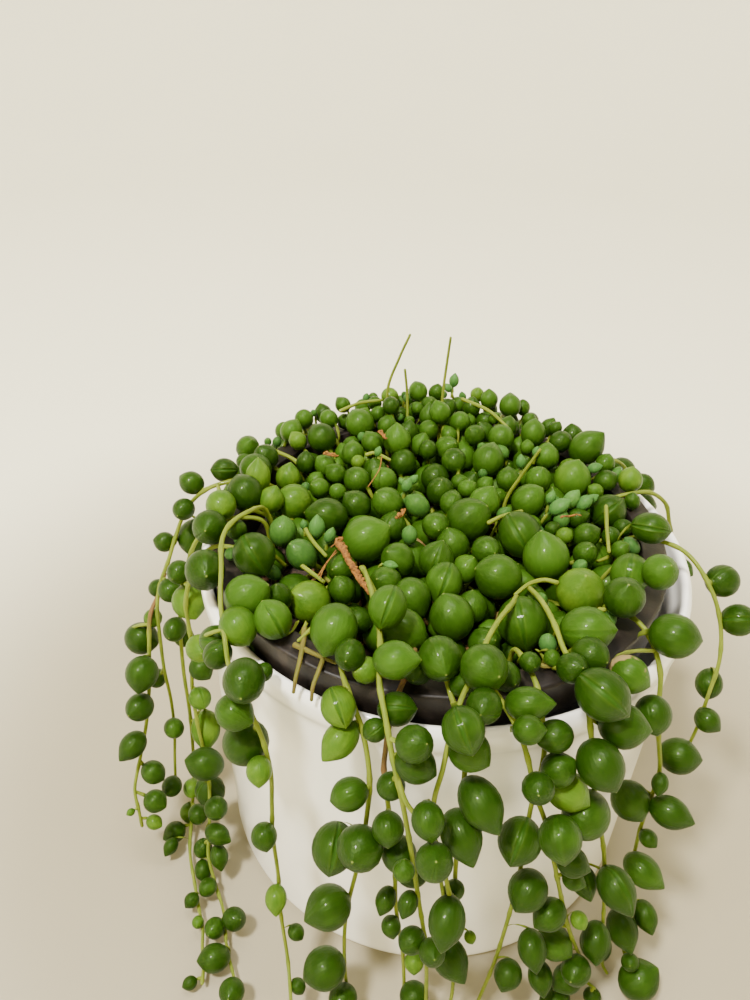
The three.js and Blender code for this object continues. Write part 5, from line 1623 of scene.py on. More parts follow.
def bead_skin(form, clear, round_it):
    """Points of a bead's rings in radii, along its window, its side and its axis."""
    stretch, waist, point, pinch, squeeze = form
    angles = np.array(BEAD_ANGLES)
    left = math.pi - angles
    out = np.sin(angles) * (1 - pinch * np.cos(angles / 2) ** 2) * squeeze
    along = -np.cos(angles) * stretch
    along += point * np.exp(-(left / POINT_WIDTH) ** 2) + SPIKE * np.exp(-left / SPIKE_WIDTH)
    from_slit = np.minimum(round_it, 2 * np.pi - round_it)
    lips = LIP_RIDGE * np.exp(-((from_slit - LIP_PLACE) / LIP_WIDTH) ** 2)
    relief = 1 + clear * (lips - GROOVE * np.exp(-(from_slit / GROOVE_WIDTH) ** 2))
    x = out[:, None] * (np.cos(round_it) * relief)[None]
    y = out[:, None] * (np.sin(round_it) * relief * waist)[None]
    z = np.repeat(along[:, None], len(round_it), axis=1)
    return np.stack([x, y, z], axis=-1).reshape(-1, 3)


def bead_neck(bead, axis, base, window, side, round_it):
    """Rings of the bent neck from the stem to a bead's base, and where the finish sees them."""
    around, beside = np.cos(round_it), np.sin(round_it)
    circle = np.outer(around, window) + np.outer(beside, side)
    bend = (bead.root + base) / 2 - axis * NECK_BEND * np.linalg.norm(base - bead.root)
    neck_radius = NECK_RADIUS * (NECK_LEAST + NECK_GROWTH * bead.radius)
    rings, marks = [], []
    for step in range(NECK_RINGS):
        t = step / NECK_RINGS
        middle = bead.root * (1 - t) ** 2 + 2 * bend * t * (1 - t) + base * t**2
        rings.append(middle + circle * (neck_radius * (1 + NECK_FLARE * t**4)))
        place_on = (around * NECK_REACH, beside * NECK_REACH, np.full(len(round_it), t + NECK_PLACE))
        marks.append(np.stack(place_on, axis=-1))
    return rings, marks


def add_bead(piece, bead, round_it, tilt):
    """Adds a bead with its neck to a piece. tilt is how far its axis may lean, in radians."""
    outward = unit(np.array((bead.centre[0], bead.centre[1], 0.0)))
    lean = np.tan(tilt) * bead_random.uniform(-AXIS_LEAN, AXIS_LEAN, 3) * (bead.aim is None)
    axis = unit(bead.axis + lean)
    window, side = bead_frame(bead, axis, outward)
    form = bead_form(bead)
    stretch, _, point, _, _ = form
    clear = window_strength(bead)
    skin = bead_skin(form, clear, round_it)
    body = bead.centre + skin @ np.stack([window, side, axis]) * bead.radius
    base = bead.centre - axis * bead.radius * stretch * NECK_SINK
    neck, marks = bead_neck(bead, axis, base, window, side, round_it)
    length = stretch + point + SPIKE_LENGTH
    tip = bead.centre + axis * bead.radius * length
    points = np.vstack([*neck, body, bead.root[None], tip[None]])
    on_bead = np.vstack([*marks, skin / (1, 1, length), [[0, 0, NECK_PLACE]], [[0, 0, 1]]])
    nature = np.zeros_like(points)
    nature[:, 0] = bead_kind(bead)
    nature[:, 1] = bead.youth
    nature[:, 2] = -clear
    nature[: NECK_RINGS * len(round_it), 2] = 1
    nature[-2, 2] = 1
    piece.add(points, ring_faces(NECK_RINGS + len(BEAD_ANGLES), len(round_it)), on_bead, nature)


# %% [markdown]
# ## The shape of a stem
# A stem is a thin green rod that tapers towards its growing end and is a little thicker at each node. The
# rings are carried along the line without twisting, so that the skin has no creases.

# %% Rings of a stem
ROD_STEP = 1.1
ROD_SIDES = 8
ROD_TAPER = 1.2
ROD_FOOT = 0.6
ROD_END = 0.9
ROD_START = (0.3, 0.5, 0.81)
ROD_ACROSS = 0.3
ROD_ALONG = 0.2
NODE_SWELL = 0.25
NODE_WIDTH = 1.1
OLD_FADE = 12.0


def add_rod(piece, points, radii, sides, wood, kind):
    """Adds a rod along points. wood goes from 1, a green stem, to 2, an old brown one."""
    steps = np.gradient(points, axis=0)
    tangents = steps / np.linalg.norm(steps, axis=1)[:, None]
    across = unit(np.cross(tangents[0], ROD_START))
    turns = 2 * np.pi * np.arange(sides) / sides
    rings = []
    for point, tangent, radius in zip(points, tangents, radii):
        across = unit(across - tangent * np.dot(across, tangent))
        other = np.cross(tangent, across)
        rings.append(point + radius * (np.outer(np.cos(turns), across) + np.outer(np.sin(turns), other)))
    foot = points[0] - tangents[0] * radii[0] * ROD_FOOT
    end = points[-1] + tangents[-1] * radii[-1] * ROD_END
    skin = np.vstack([*rings, foot, end])
    run = np.repeat(running(points), sides)
    on_bead = np.zeros_like(skin)
    on_bead[:-2, 0] = np.tile(np.cos(turns), len(points)) * ROD_ACROSS
    on_bead[:-2, 1] = np.tile(np.sin(turns), len(points)) * ROD_ACROSS
    on_bead[:-2, 2] = run * ROD_ALONG
    on_bead[-1, 2] = run[-1] * ROD_ALONG
    nature = np.zeros_like(skin)
    nature[:, 0] = kind
    nature[:-2, 2] = np.repeat(np.broadcast_to(wood, len(points)), sides)
    nature[-2:, 2] = nature[0, 2], nature[-3, 2]
    piece.add(skin, ring_faces(len(points), sides), on_bead, nature)


def add_stem(piece, line, nodes, thick, thin, kind, old_until=0.0):
    """Adds a stem along a line, swollen at its nodes. It is old wood up to a running length."""
    count = max(4, round(line.length / ROD_STEP))
    points = line.evenly(count)
    run = np.linspace(0, line.length, count + 1)
    radii = thick + (thin - thick) * (run / line.length) ** ROD_TAPER
    for node in nodes:
        radii = radii * (1 + NODE_SWELL * np.exp(-((run - node) / NODE_WIDTH) ** 2))
    wood = 1 + np.clip((old_until - run) / OLD_FADE + 0.5, 0, 1) if old_until else 1.0
    add_rod(piece, points, radii, ROD_SIDES, wood, kind)


print("rings in a bead:", NECK_RINGS + len(BEAD_ANGLES))

# %% [markdown]
# ## The finish of beads and stems
# A bead is waxy: mid green where it faces the light and deeper below, where a painted shade deepens it
# towards its stem, with a soft sheen. No two are the same green, some are yellowish and old ones carry a
# tan scar. Beads on the stems are darker, partly their own green and partly painted shade. The window is a
# dark slit between two lips, painted a little pale as a highlight on their ridges.
# One finish serves beads and stems, because they are one plant: the third part of nature tells them apart.

# %% Foliage finish
BEAD_DEEP = (0.009, 0.030, 0.001)
BEAD_MID = (0.035, 0.090, 0.006)
BEAD_LIGHT = (0.135, 0.225, 0.012)
BEAD_YOUNG = (0.065, 0.180, 0.042)
BEAD_POINT = (0.20, 0.24, 0.05)
WINDOW_DARK = (0.014, 0.050, 0.003)
SCAR = (0.30, 0.20, 0.09)
STEM_GREEN = (0.17, 0.205, 0.022)
STEM_BROWN = (0.17, 0.085, 0.035)
WAX = {
    "Subsurface_Weight": 0.06,
    "Subsurface_Scale": 0.002,
    "Subsurface_Radius": (0.4, 0.8, 0.15),
    "Specular_IOR_Level": 0.2,
    "Specular_Tint": (0.7, 1.0, 0.35, 1.0),
    "Coat_Weight": 0.06,
    "Coat_Roughness": 0.06,
}


def foliage_finish():
    finish = Finish("string_of_pearls_skin", **WAX)
    whole, towards, across, along = finish.attribute("on_bead")
    _, kind, youth, wood = finish.attribute("nature")
    # The fourth coordinate of the noise gives each bead a pattern of its own.
    own = {"Vector": whole, "W": kind * 37.0, "Scale": 1.1, "Detail": 2.0}
    clouds = finish.node("ShaderNodeTexNoise", {"noise_dimensions": "4D"}, own, "Fac")
    drawn_out = finish.scaled(whole, (5.0, 5.0, 0.9))
    lines = {"Vector": drawn_out, "W": kind * 91.0, "Scale": 1.6, "Detail": 3.0}
    stripes = finish.node("ShaderNodeTexNoise", {"noise_dimensions": "4D"}, lines, "Fac")
    grain = finish.noise(finish.place(), 2600.0, 2.0)
    old = kind.ramp(0.955, 0.96)
    # The green of a bead: deep to light by its own shade, painted shade deeper towards its stem, pale at
    # its point.
    shade = (kind - old * 0.7) * 0.55 + clouds * 0.5 + stripes * 0.12 - 0.11
    colour = finish.mix(shade.ramp(0.05, 0.55), BEAD_DEEP, BEAD_MID)
    colour = finish.mix(shade.ramp(0.5, 1.0) * 0.85, colour, BEAD_LIGHT)
    # Painted shade: the lower half of a bead darkens towards its stem, on its underside.
    colour = finish.mix((0 - along).ramp(-0.1, 0.9) * 0.45, colour, BEAD_DEEP)
    colour = finish.mix(youth * 0.6, colour, BEAD_YOUNG)
    colour = finish.mix((0 - along).ramp(0.8, 1.1) * 0.4, colour, STEM_GREEN)
    colour = finish.mix(along.ramp(0.965, 0.995) * 0.75, colour, BEAD_POINT)
    # The window and its lips, on the side of the bead where towards is high. The lips carry a painted
    # highlight.
    facing = towards.ramp(0.05, 0.3)
    slit = abs(across + stripes * 0.03 - 0.015)
    width = 0.11 * (1 - along * along * 0.8)
    clear = (0 - wood).larger(0.0)
    reach = facing * abs(along).ramp(0.97, 0.75) * clear
    window = (slit / width.larger(0.01)).ramp(1.4, 0.2) * reach
    lips = ((slit / width.larger(0.01)).ramp(2.6, 1.2) * reach) * (1 - window)
    # Painted highlight: the raised lips are mixed a little towards the light green.
    colour = finish.mix(lips * 0.07, colour, BEAD_LIGHT)
    colour = finish.mix(window * 0.75, colour, WINDOW_DARK)
    # Scars, and the bark of the stems.
    scarred = old * clouds.ramp(0.6, 0.66)
    colour = finish.mix(scarred * 0.8, colour, SCAR)
    bark = finish.mix(((wood - 1) + (stripes - 0.5) * 0.5).ramp(0.25, 0.75), STEM_GREEN, STEM_BROWN)
    bark = finish.mix(clouds.ramp(0.35, 0.7) * 0.35, bark, BEAD_MID)
    stem = wood.ramp(0.3, 0.9)
    finish.link("Base Color", finish.mix(stem, colour, bark))
    finish.link("Roughness", 0.38 + grain * 0.1 + scarred * 0.3 + stem * 0.12)
    relief = lips * 0.2 - window * 0.3 + stripes * 0.4 * (1 + stem) + grain * 0.05 - scarred * 0.4
    finish.bump(relief, 0.0004)
    return finish


foliage = foliage_finish()
print("foliage finish has", len(foliage.tree.nodes), "nodes")

# %% [markdown]
# ## Stems with their beads
# Each CAD stem is replaced by one piece: its rods, its branch where it has one, and its beads. Old stems
# turn brown where they leave the soil.

# %% Build the hanging stems
STEM_THICK = 0.64
STEM_THIN = 0.44
BRANCH_THICK = 0.55
MAIN_SAMPLES = 60
STEM_TILT = 0.3
OLD_LENGTH = {"front_inner": 60.0, "front_arch": 24.0}
USUAL_OLD_LENGTH = 16.0


def build_stem(name, pairs):
    piece = Piece()
    for index, (line, beads) in enumerate(pairs):
        nodes = [run for run, _, _ in beads]
        rooted = line.samples[0][2] < SOIL_TOP
        thick = STEM_THICK if rooted or len(line.samples) > MAIN_SAMPLES else BRANCH_THICK
        old = OLD_LENGTH.get(name, USUAL_OLD_LENGTH) if rooted else 0.0
        add_stem(piece, line, nodes, thick, STEM_THIN, bead_random.random(), old)
    for bead in thicket.beads:
        if bead.owner == name:
            add_bead(piece, bead, FINE_TURN, STEM_TILT)
    piece.make(name + "_leafy", foliage, "strand_foliage", name)


for name, pairs in STEMS.items():
    build_stem(name, pairs)

# %% [markdown]
# ## The crown and the tangle under it
# Under the beads lies a tangle of old stems, green to brown, which shows only in the gaps. It is a set of
# short rods at random over the soil. The flower stalks stand out of it.

# %% Build the crown
FINE_FROM = 3.9
FILL_HALF = -12.0
CROWN_TILT = 0.75
TANGLE_RODS = 110
TANGLE_RADIUS = 45.0
TANGLE_LOW = 95.5
TANGLE_HIGH = 103.5
TANGLE_STEPS = 4
TANGLE_TURN = 0.7
TANGLE_STEP = (4, 9)
TANGLE_CLIMB = 3
TANGLE_LEAST = 3
TANGLE_SPACING = 2.2
TANGLE_RADII = (0.4, 0.85)
TANGLE_SIDES = 6
TANGLE_SEED = 17
STALK_THICK = 0.55
STALK_THIN = 0.4
STALK_KIND = 0.2


def tangle_route(draws):
    """A wandering route over the soil, which ends where it would leave the pot."""
    point = np.array((*random_in_pot(draws, TANGLE_RADIUS), TANGLE_LOW))
    heading = draws.uniform(0, 2 * math.pi)
    route = [point.copy()]
    for _ in range(TANGLE_STEPS):
        heading += draws.uniform(-TANGLE_TURN, TANGLE_TURN)
        step = draws.uniform(*TANGLE_STEP)
        climb = draws.uniform(0, TANGLE_CLIMB)
        point = point + (step * math.cos(heading), step * math.sin(heading), climb)
        if math.hypot(point[0] - NURSERY_X, point[1] - NURSERY_Y) > TANGLE_RADIUS:
            break
        point[2] = min(point[2], TANGLE_HIGH)
        route.append(point.copy())
    return route


def add_tangle(piece):
    draws = np.random.default_rng(TANGLE_SEED)
    for _ in range(TANGLE_RODS):
        route = tangle_route(draws)
        if len(route) < TANGLE_LEAST:
            continue
        line = StemLine(route)
        points = line.evenly(max(4, round(line.length / TANGLE_SPACING)))
        radii = np.full(len(points), draws.uniform(*TANGLE_RADII))
        add_rod(piece, points, radii, TANGLE_SIDES, draws.uniform(1.0, 2.0), draws.random())


crown = Piece()
for line in STALK_LINES:
    add_stem(crown, line, [], STALK_THICK, STALK_THIN, STALK_KIND)
for bead in thicket.beads:
    if bead.owner == "crown":
        add_bead(crown, bead, FINE_TURN, CROWN_TILT)
crown.make("crown_beads", foliage, "crown_foliage", "crown")
fill_front, fill_back = Piece(), Piece()
add_tangle(fill_back)
for bead in thicket.beads:
    if bead.owner == "crown_fill":
        half = fill_front if bead.centre[1] < FILL_HALF else fill_back
        add_bead(half, bead, FINE_TURN if bead.radius > FINE_FROM else PLAIN_TURN, CROWN_TILT)
fill_front.make("crown_fill_front", foliage, "crown_foliage")
fill_back.make("crown_fill_back", foliage, "crown_foliage")

# %% [markdown]
# ## Young shoots and bare bits of stem
# The newest leaves stand up in small blue-green rosettes, pointed like buds. They are beads too, only
# long, small and young, and they sit a little above the mound. Short bare stems and a few roots that creep
# over the lip lie between them.

# %% Place the shoots, the bare stems and the roots
SHOOT_LEAVES = [
    (317, 528, 5.2, 0), (304, 525, 2.2, 350), (330, 536, 3.6, 20), (407, 486, 3.4, 20),
    (413, 480, 2.8, 45), (402, 482, 2.2, 330), (559, 507, 5.4, 60), (571, 500, 5.0, 40),
    (584, 503, 4.6, 50), (592, 499, 3.0, 60), (551, 498, 3.2, 20), (521, 462, 3.4, 0),
    (454, 381, 3.8, 10), (448, 388, 2.8, 320), (594, 468, 3.6, 75), (390, 565, 3.0, 100),
    (378, 452, 2.6, 20), (536, 452, 2.6, 15),
]
SHOOT_LOOKS = "lp"
SHOOT_DROP = 0.5
SHOOT_LIFT = 3.0
BARE_STEMS = [
    [(558, 583), (544, 580), (529, 584), (515, 595)],
    [(340, 411), (360, 403), (382, 400)],
    [(462, 399), (489, 411), (510, 430)],
    [(488, 523), (503, 516), (522, 511)],
    [(304, 526), (312, 540), (326, 556)],
    [(302, 566), (312, 573), (324, 582)],
    [(361, 567), (369, 580), (376, 594)],
    [(366, 455), (375, 453), (390, 460)],
    [(606, 505), (607, 530), (609, 552)],
]
STEM_LIFT = 2.2
BARE_RADIUS = 0.6
BARE_TAPER = 0.8
BARE_KIND = 0.5
ROOTS = [
    [(-29.5, -46, 108.5), (-29, -50.5, 108.2), (-28.8, -55.5, 107.7), (-29, -58.8, 106.6),
        (-29.4, -60.2, 103)],
    [(-23.5, -47, 108.5), (-23.8, -52.5, 107.8), (-24.2, -57, 107.6), (-25, -60.4, 106),
        (-25.2, -61.6, 102.8)],
    [(-31, -50.5, 107.6), (-26, -53, 108), (-21, -54.8, 107.7)],
    [(20, -48.5, 108), (24, -49.6, 107.8), (29, -48, 107.6)],
    [(-12, -56, 107.4), (-8, -57.2, 107.6), (-3, -56.4, 107.4)],
]
ROOT_THICK = 0.72
ROOT_THIN = 0.4
ROOT_SIDES = 7
ROOT_WOOD = 1.55
ROOT_KIND = 0.4


def above_mound(column, row, lift):
    """The point where a sight line meets the mound raised by a lift."""
    way = sight(column, row)
    return EYE + way * mound_distance(way, -lift)


def line_above_mound(places, lift):
    return StemLine([above_mound(column, row, lift) for column, row in places])


shoots = Piece()
for column, row, diameter, tip in SHOOT_LEAVES:
    centre = above_mound(column, row, SHOOT_LIFT)
    aim = tip_direction(sight(column, row), "", tip)
    root = centre - aim * diameter - (0, 0, diameter * SHOOT_DROP)
    leaf = Bead("crown", root, centre, diameter / 2, 1.0, SHOOT_LOOKS, aim)
    add_bead(shoots, leaf, PLAIN_TURN, 0.0)
for places in BARE_STEMS:
    line = line_above_mound(places, STEM_LIFT)
    add_stem(shoots, line, [], BARE_RADIUS, BARE_RADIUS * BARE_TAPER, BARE_KIND)
for points in ROOTS:
    line = StemLine(points)
    skin = line.evenly(max(6, round(line.length)))
    radii = np.linspace(ROOT_THICK, ROOT_THIN, len(skin))
    add_rod(shoots, skin, radii, ROOT_SIDES, ROOT_WOOD, ROOT_KIND)
shoots.make("young_shoots", foliage, "crown_foliage")

# %% [markdown]
# ## Dried flower and scraps
# One spent flower lies on the crown: a crumpled orange-brown husk with a few hair-thin filaments. Some
# scraps of others are caught among the beads. The husk is three uneven rods twisted round each other, and
# a scrap one or two, which gives folds that a single tube would not have.

# %% Dried flower and scraps
HUSKS = [
    ([(338, 540), (343, 548), (349, 560), (356, 572), (364, 584), (371, 593)], 0.75, 3),
    ([(325, 453), (331, 454), (338, 456)], 0.45, 2),
    ([(380, 431), (383, 434), (386, 439)], 0.5, 2),
    ([(397, 517), (401, 514), (404, 510)], 0.6, 2),
    ([(560, 518), (570, 515), (582, 516)], 0.35, 1),
]
FILAMENTS = [
    [(382, 456), (379, 470), (368, 487)],
    [(337, 552), (327, 562), (318, 576)],
    [(336, 550), (325, 566), (320, 578)],
    [(345, 545), (337, 543), (331, 547)],
]
HUSK_LIFT = 4.6
HUSK_SPACING = 0.6
HUSK_TWIST = 0.9
HUSK_SPREAD = 0.6
HUSK_ROLL = 0.7
HUSK_TAPER = 0.5
HUSK_CRUMPLE = (0.4, 1.3)
HUSK_SIDES = 7
OLD_WOOD = 2.0
FILAMENT_RADIUS = 0.16
FILAMENT_PARTS = 10
FILAMENT_SIDES = 5
FILAMENT_KIND = 0.5
HUSK_SEED = 41
HUSK_BROWN = (0.10, 0.032, 0.003)
HUSK_ORANGE = (0.33, 0.13, 0.010)
HUSK_PALE = (0.46, 0.25, 0.04)

husk_finish = Finish("dried_flower")
husk_place = husk_finish.place()
husk_folds = husk_finish.noise(husk_place, 900.0, 4.0, 0.7)
husk_cast = husk_finish.noise(husk_place, 260.0, 2.0)
husk_colour = husk_finish.mix(husk_folds.ramp(0.3, 0.7), HUSK_BROWN, HUSK_ORANGE)
husk_colour = husk_finish.mix(husk_cast.ramp(0.5, 0.7) * 0.4, husk_colour, HUSK_PALE)
husk_finish.link("Base Color", husk_colour)
husk_finish.link("Roughness", 0.7 + husk_folds * 0.25)
husk_finish.bump(husk_folds, 0.001)
husk_random = np.random.default_rng(HUSK_SEED)
husks = Piece()
for places, radius, strands in HUSKS:
    line = line_above_mound(places, HUSK_LIFT)
    skin = line.evenly(max(8, round(line.length / HUSK_SPACING)))
    for strand in range(strands):
        turns = 2 * math.pi * strand / strands + HUSK_TWIST * np.arange(len(skin))
        round_it = np.stack([np.cos(turns), np.sin(turns), np.cos(turns * HUSK_ROLL)], axis=-1)
        widths = radius * np.linspace(1.0, HUSK_TAPER, len(skin))
        widths = widths * husk_random.uniform(*HUSK_CRUMPLE, len(skin))
        middles = skin + round_it * radius * HUSK_SPREAD
        add_rod(husks, middles, widths, HUSK_SIDES, OLD_WOOD, husk_random.random())
for places in FILAMENTS:
    skin = line_above_mound(places, HUSK_LIFT).evenly(FILAMENT_PARTS)
    radii = np.full(len(skin), FILAMENT_RADIUS)
    add_rod(husks, skin, radii, FILAMENT_SIDES, OLD_WOOD, FILAMENT_KIND)
husks.make("dried_flower", husk_finish, None)

# %% [markdown]
# ## Turned shapes
# Both pots are round, so each is a profile turned about its axis. The CAD profiles have sharp corners.
# Real glaze and moulded plastic have none, so each corner is first rounded by a short curve.

# %% Turn a softened profile
CORNER_SHARE = 0.45
POT_SIDES = 144
POT_NATURE = (0.5, 0.0, 0.0)


def level_ring(x, y, height, radius, turns):
    """Points of a level ring about an upright axis, at the angles turns."""
    heights = np.broadcast_to(height, turns.shape)
    return np.stack([x + radius * np.cos(turns), y + radius * np.sin(turns), heights], axis=-1)


def soften(outline, reach, steps):
    """Rounds the inner corners of an outline of (radius, height) by curves that reach so far."""
    corners = [np.array(corner, float) for corner in outline]
    softened = [corners[0]]
    for before, corner, after in zip(corners, corners[1:], corners[2:]):
        back, on = before - corner, after - corner
        start = corner + back * min(CORNER_SHARE, reach / np.linalg.norm(back))
        end = corner + on * min(CORNER_SHARE, reach / np.linalg.norm(on))
        for step in range(steps + 1):
            t = step / steps
            softened.append(start * (1 - t) ** 2 + 2 * corner * t * (1 - t) + end * t**2)
    return [*softened, corners[-1]]


def add_turned(piece, outline, sides, x, y, nature):
    """Adds a shape turned about an upright axis. The outline starts and ends on the axis."""
    turns = 2 * np.pi * np.arange(sides) / sides
    rings = [level_ring(x, y, height, radius, turns) for radius, height in outline[1:-1]]
    ends = [(x, y, outline[0][1]), (x, y, outline[-1][1])]
    points = np.vstack([*rings, ends])
    piece.add(points, ring_faces(len(rings), sides), np.zeros(3), nature)


# %% [markdown]
# ## The planter
# The planter is slip-cast white earthenware under a clear, slightly warm glaze: a plain drum that widens a
# little upwards, with a rolled rim.

# %% Build the planter
PLANTER_FLOOR_RADIUS = 59.5
PLANTER_FLOOR = 5.0
BASE_EDGE = 2.5
FLOOR_ROUND = 3.0
SHOULDER_DROP = 6.0
RIM_FOOT = PLANTER_HEIGHT - RIM_DEPTH
PLANTER_SOFT = 2.0
PLANTER_SOFT_STEPS = 5
GLAZE_CREAM = (0.94, 0.91, 0.82)
GLAZE_WHITE = (0.97, 0.94, 0.87)
PLANTER_OUTLINE = [
    (0, 0),
    (PLANTER_BASE_RADIUS - BASE_EDGE, 0),
    (PLANTER_BASE_RADIUS - BASE_EDGE * 0.3, BASE_EDGE * 0.3),
    (PLANTER_BASE_RADIUS, BASE_EDGE),
    (PLANTER_TOP_RADIUS, RIM_FOOT - RIM_ROUND),
    (PLANTER_RIM_RADIUS, RIM_FOOT + RIM_ROUND / 2),
    (PLANTER_RIM_RADIUS, PLANTER_HEIGHT - RIM_ROUND),
    ((PLANTER_RIM_RADIUS + PLANTER_MOUTH_RADIUS) / 2, PLANTER_HEIGHT),
    (PLANTER_MOUTH_RADIUS, PLANTER_HEIGHT - RIM_ROUND / 2),
    (PLANTER_MOUTH_RADIUS, RIM_FOOT + RIM_ROUND / 2),
    ((PLANTER_MOUTH_RADIUS + PLANTER_FLOOR_RADIUS) / 2, RIM_FOOT - SHOULDER_DROP),
    (PLANTER_FLOOR_RADIUS, PLANTER_FLOOR + FLOOR_ROUND),
    (PLANTER_FLOOR_RADIUS - FLOOR_ROUND, PLANTER_FLOOR),
    (0, PLANTER_FLOOR),
]

glaze = Finish("white_glaze", Coat_Weight=0.35, Coat_Roughness=0.08)
glaze_flow = glaze.noise(glaze.place(), 28.0, 4.0)
glaze_cast = glaze.noise(glaze.place(), 9.0, 2.0)
glaze.link("Base Color", glaze.mix(glaze_cast.ramp(0.3, 0.7), GLAZE_CREAM, GLAZE_WHITE))
glaze.link("Roughness", 0.2 + glaze_flow * 0.1)
glaze.bump(glaze_flow + glaze_cast, 0.0006, 0.5)
planter = Piece()
planter_skin = soften(PLANTER_OUTLINE, PLANTER_SOFT, PLANTER_SOFT_STEPS)
add_turned(planter, planter_skin, POT_SIDES, 0.0, 0.0, POT_NATURE)
planter.make("planter", glaze, "planter_glaze", "outer_pot")

# %% [markdown]
# ## The nursery pot
# The plant still grows in the thin dark plastic pot it was sold in. Its flat lip and turned-down skirt show
# inside the planter's rim.

# %% Build the nursery pot
LIP_THICKNESS = 1.5
SKIRT_BOTTOM = 97.0
SKIRT_THICKNESS = 1.3
NURSERY_WALL = 1.2
NURSERY_TOP_RADIUS = 54.7
NURSERY_BASE_RADIUS = 42.0
NURSERY_FLOOR = 1.5
LIP_ROUND = 0.5
NURSERY_SOFT = 0.35
NURSERY_SOFT_STEPS = 3
PLASTIC_BLACK = (0.010, 0.007, 0.005)
PLASTIC_DUST = (0.036, 0.026, 0.020)
CLEARANCE = 0.3
NURSERY_BOTTOM = PLANTER_FLOOR + CLEARANCE
LIP_UNDER = LIP_TOP - LIP_THICKNESS


def nursery_radius(height):
    part = (height - NURSERY_BOTTOM) / (LIP_UNDER - NURSERY_BOTTOM)
    return NURSERY_BASE_RADIUS + (NURSERY_TOP_RADIUS - NURSERY_BASE_RADIUS) * part


NURSERY_OUTLINE = [
    (0, NURSERY_BOTTOM),
    (NURSERY_BASE_RADIUS, NURSERY_BOTTOM),
    (NURSERY_TOP_RADIUS, LIP_UNDER),
    (LIP_RADIUS - SKIRT_THICKNESS, LIP_UNDER),
    (LIP_RADIUS - SKIRT_THICKNESS, SKIRT_BOTTOM),
    (LIP_RADIUS, SKIRT_BOTTOM),
    (LIP_RADIUS, LIP_TOP - LIP_ROUND),
    (LIP_RADIUS - LIP_ROUND, LIP_TOP),
    (LIP_INNER_RADIUS, LIP_TOP),
    (nursery_radius(NURSERY_BOTTOM + NURSERY_FLOOR) - NURSERY_WALL, NURSERY_BOTTOM + NURSERY_FLOOR),
    (0, NURSERY_BOTTOM + NURSERY_FLOOR),
]
plastic = Finish("nursery_plastic", Specular_IOR_Level=0.35)
plastic_dust = plastic.noise(plastic.place(), 160.0, 5.0, 0.65)
plastic_grain = plastic.noise(plastic.place(), 1800.0, 2.0)
plastic.link("Base Color", plastic.mix(plastic_dust.ramp(0.5, 0.75), PLASTIC_BLACK, PLASTIC_DUST))
plastic.link("Roughness", 0.36 + plastic_dust * 0.2)
plastic.bump(plastic_dust * 0.6 + plastic_grain * 0.2, 0.0002)
nursery = Piece()
nursery_skin = soften(NURSERY_OUTLINE, NURSERY_SOFT, NURSERY_SOFT_STEPS)
add_turned(nursery, nursery_skin, POT_SIDES, NURSERY_X, NURSERY_Y, POT_NATURE)
nursery.make("nursery_pot_plastic", plastic, "nursery_plastic", "nursery_pot")

# %% [markdown]
# ## The soil
# The soil is dark, crumbly potting mix with bits of bark. Its top is a rough disc, and the bits are small
# broken lumps that lie in it.

# %% Build the soil
SOIL_BOTTOM = NURSERY_BOTTOM + NURSERY_FLOOR + CLEARANCE
SOIL_MARGIN = NURSERY_WALL + CLEARANCE
SOIL_RINGS = 30
SOIL_SIDES = 96
SOIL_SHOULDER = 1.5
SOIL_ROUGH = 0.5
SOIL_NATURE = (0.2, 0, 0)
SOIL_SEED = 23
SOIL_DARK = (0.016, 0.009, 0.005)
SOIL_BROWN = (0.055, 0.030, 0.016)
BARK_BITS = 420
BARK_RADIUS = 50
BARK_LIFT = 0.4
BARK_SIZES = (0.6, 2.2)
BARK_FLAT = 0.6
BARK_SIDES = 6
BARK_HEIGHTS = (-0.7, 0.0, 0.7)
BARK_BREAK = (0.7, 1.15)
BARK_COLOUR = (0.20, 0.095, 0.035)

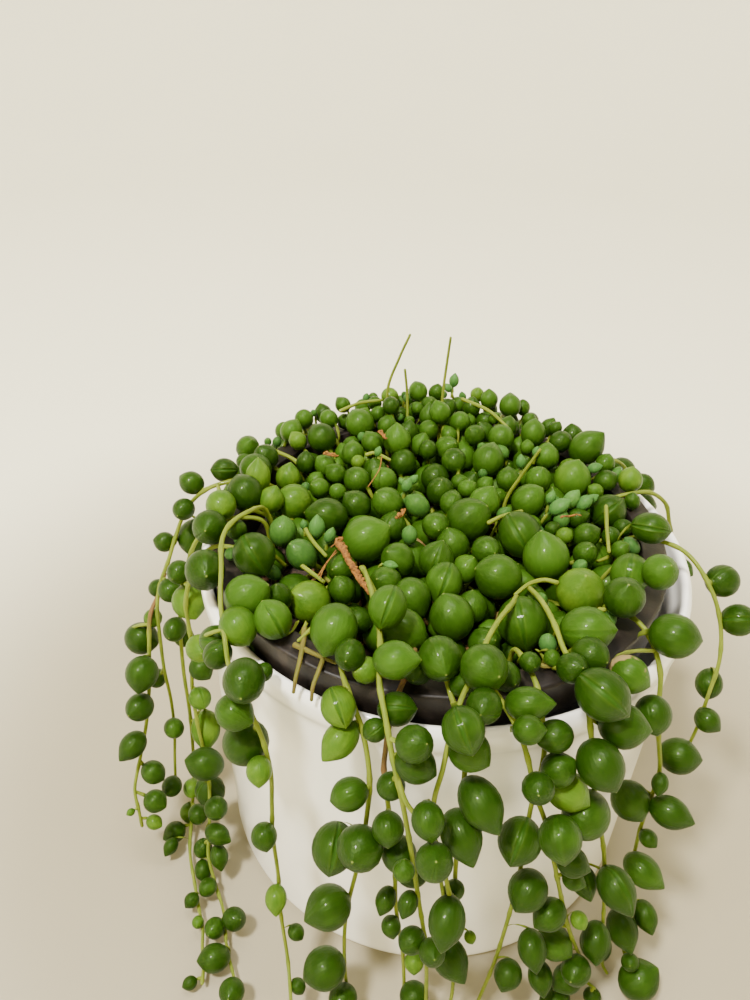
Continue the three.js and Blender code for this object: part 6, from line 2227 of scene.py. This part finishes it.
earth = Finish("potting_soil")
_, earth_kind, _, _ = earth.attribute("nature")
earth_clods = earth.noise(earth.place(), 420.0, 5.0, 0.7)
earth_colour = earth.mix(earth_clods.ramp(0.3, 0.7), SOIL_DARK, SOIL_BROWN)
earth.link("Base Color", earth.mix(earth_kind.ramp(0.5, 1.0) * 0.8, earth_colour, BARK_COLOUR))
earth.link("Roughness", 0.85 + earth_clods * 0.15)
earth.bump(earth_clods, 0.0012)


def add_soil_body(piece, draws):
    top = nursery_radius(SOIL_TOP) - SOIL_MARGIN
    foot = nursery_radius(SOIL_BOTTOM) - SOIL_MARGIN
    turns = 2 * np.pi * np.arange(SOIL_SIDES) / SOIL_SIDES
    rings = [(foot, SOIL_BOTTOM, 0.0), (top, SOIL_TOP - SOIL_SHOULDER, 0.0)]
    rings += [(top * (1 - step / SOIL_RINGS), SOIL_TOP, 1.0) for step in range(SOIL_RINGS)]
    points = []
    for radius, height, rough in rings:
        lift = rough * draws.normal(0, SOIL_ROUGH, SOIL_SIDES)
        points.append(level_ring(NURSERY_X, NURSERY_Y, height + lift, radius, turns))
    ends = [(NURSERY_X, NURSERY_Y, SOIL_BOTTOM), (NURSERY_X, NURSERY_Y, SOIL_TOP)]
    faces = ring_faces(len(rings), SOIL_SIDES)
    piece.add(np.vstack([*points, ends]), faces, np.zeros(3), SOIL_NATURE)


def add_bark(piece, draws):
    """Adds one broken lump of bark at random on the soil."""
    middle = np.array((*random_in_pot(draws, BARK_RADIUS), SOIL_TOP + BARK_LIFT))
    size = draws.uniform(*BARK_SIZES, 3) * (1, 1, BARK_FLAT)
    turns = 2 * np.pi * np.arange(BARK_SIDES) / BARK_SIDES + draws.uniform(0, 6)
    rings = []
    for height in BARK_HEIGHTS:
        rings.append(level_ring(0, 0, height, math.sqrt(1 - height**2), turns))
    lump = np.vstack([*rings, [[0, 0, -1]], [[0, 0, 1]]])
    lump = lump * draws.uniform(*BARK_BREAK, (len(lump), 1)) * size
    faces = ring_faces(len(BARK_HEIGHTS), BARK_SIDES)
    piece.add(middle + lump, faces, np.zeros(3), (draws.random(), 0, 0))


soil_random = np.random.default_rng(SOIL_SEED)
soil = Piece()
add_soil_body(soil, soil_random)
for _ in range(BARK_BITS):
    add_bark(soil, soil_random)
soil.make("potting_mix", earth, "soil", "soil")
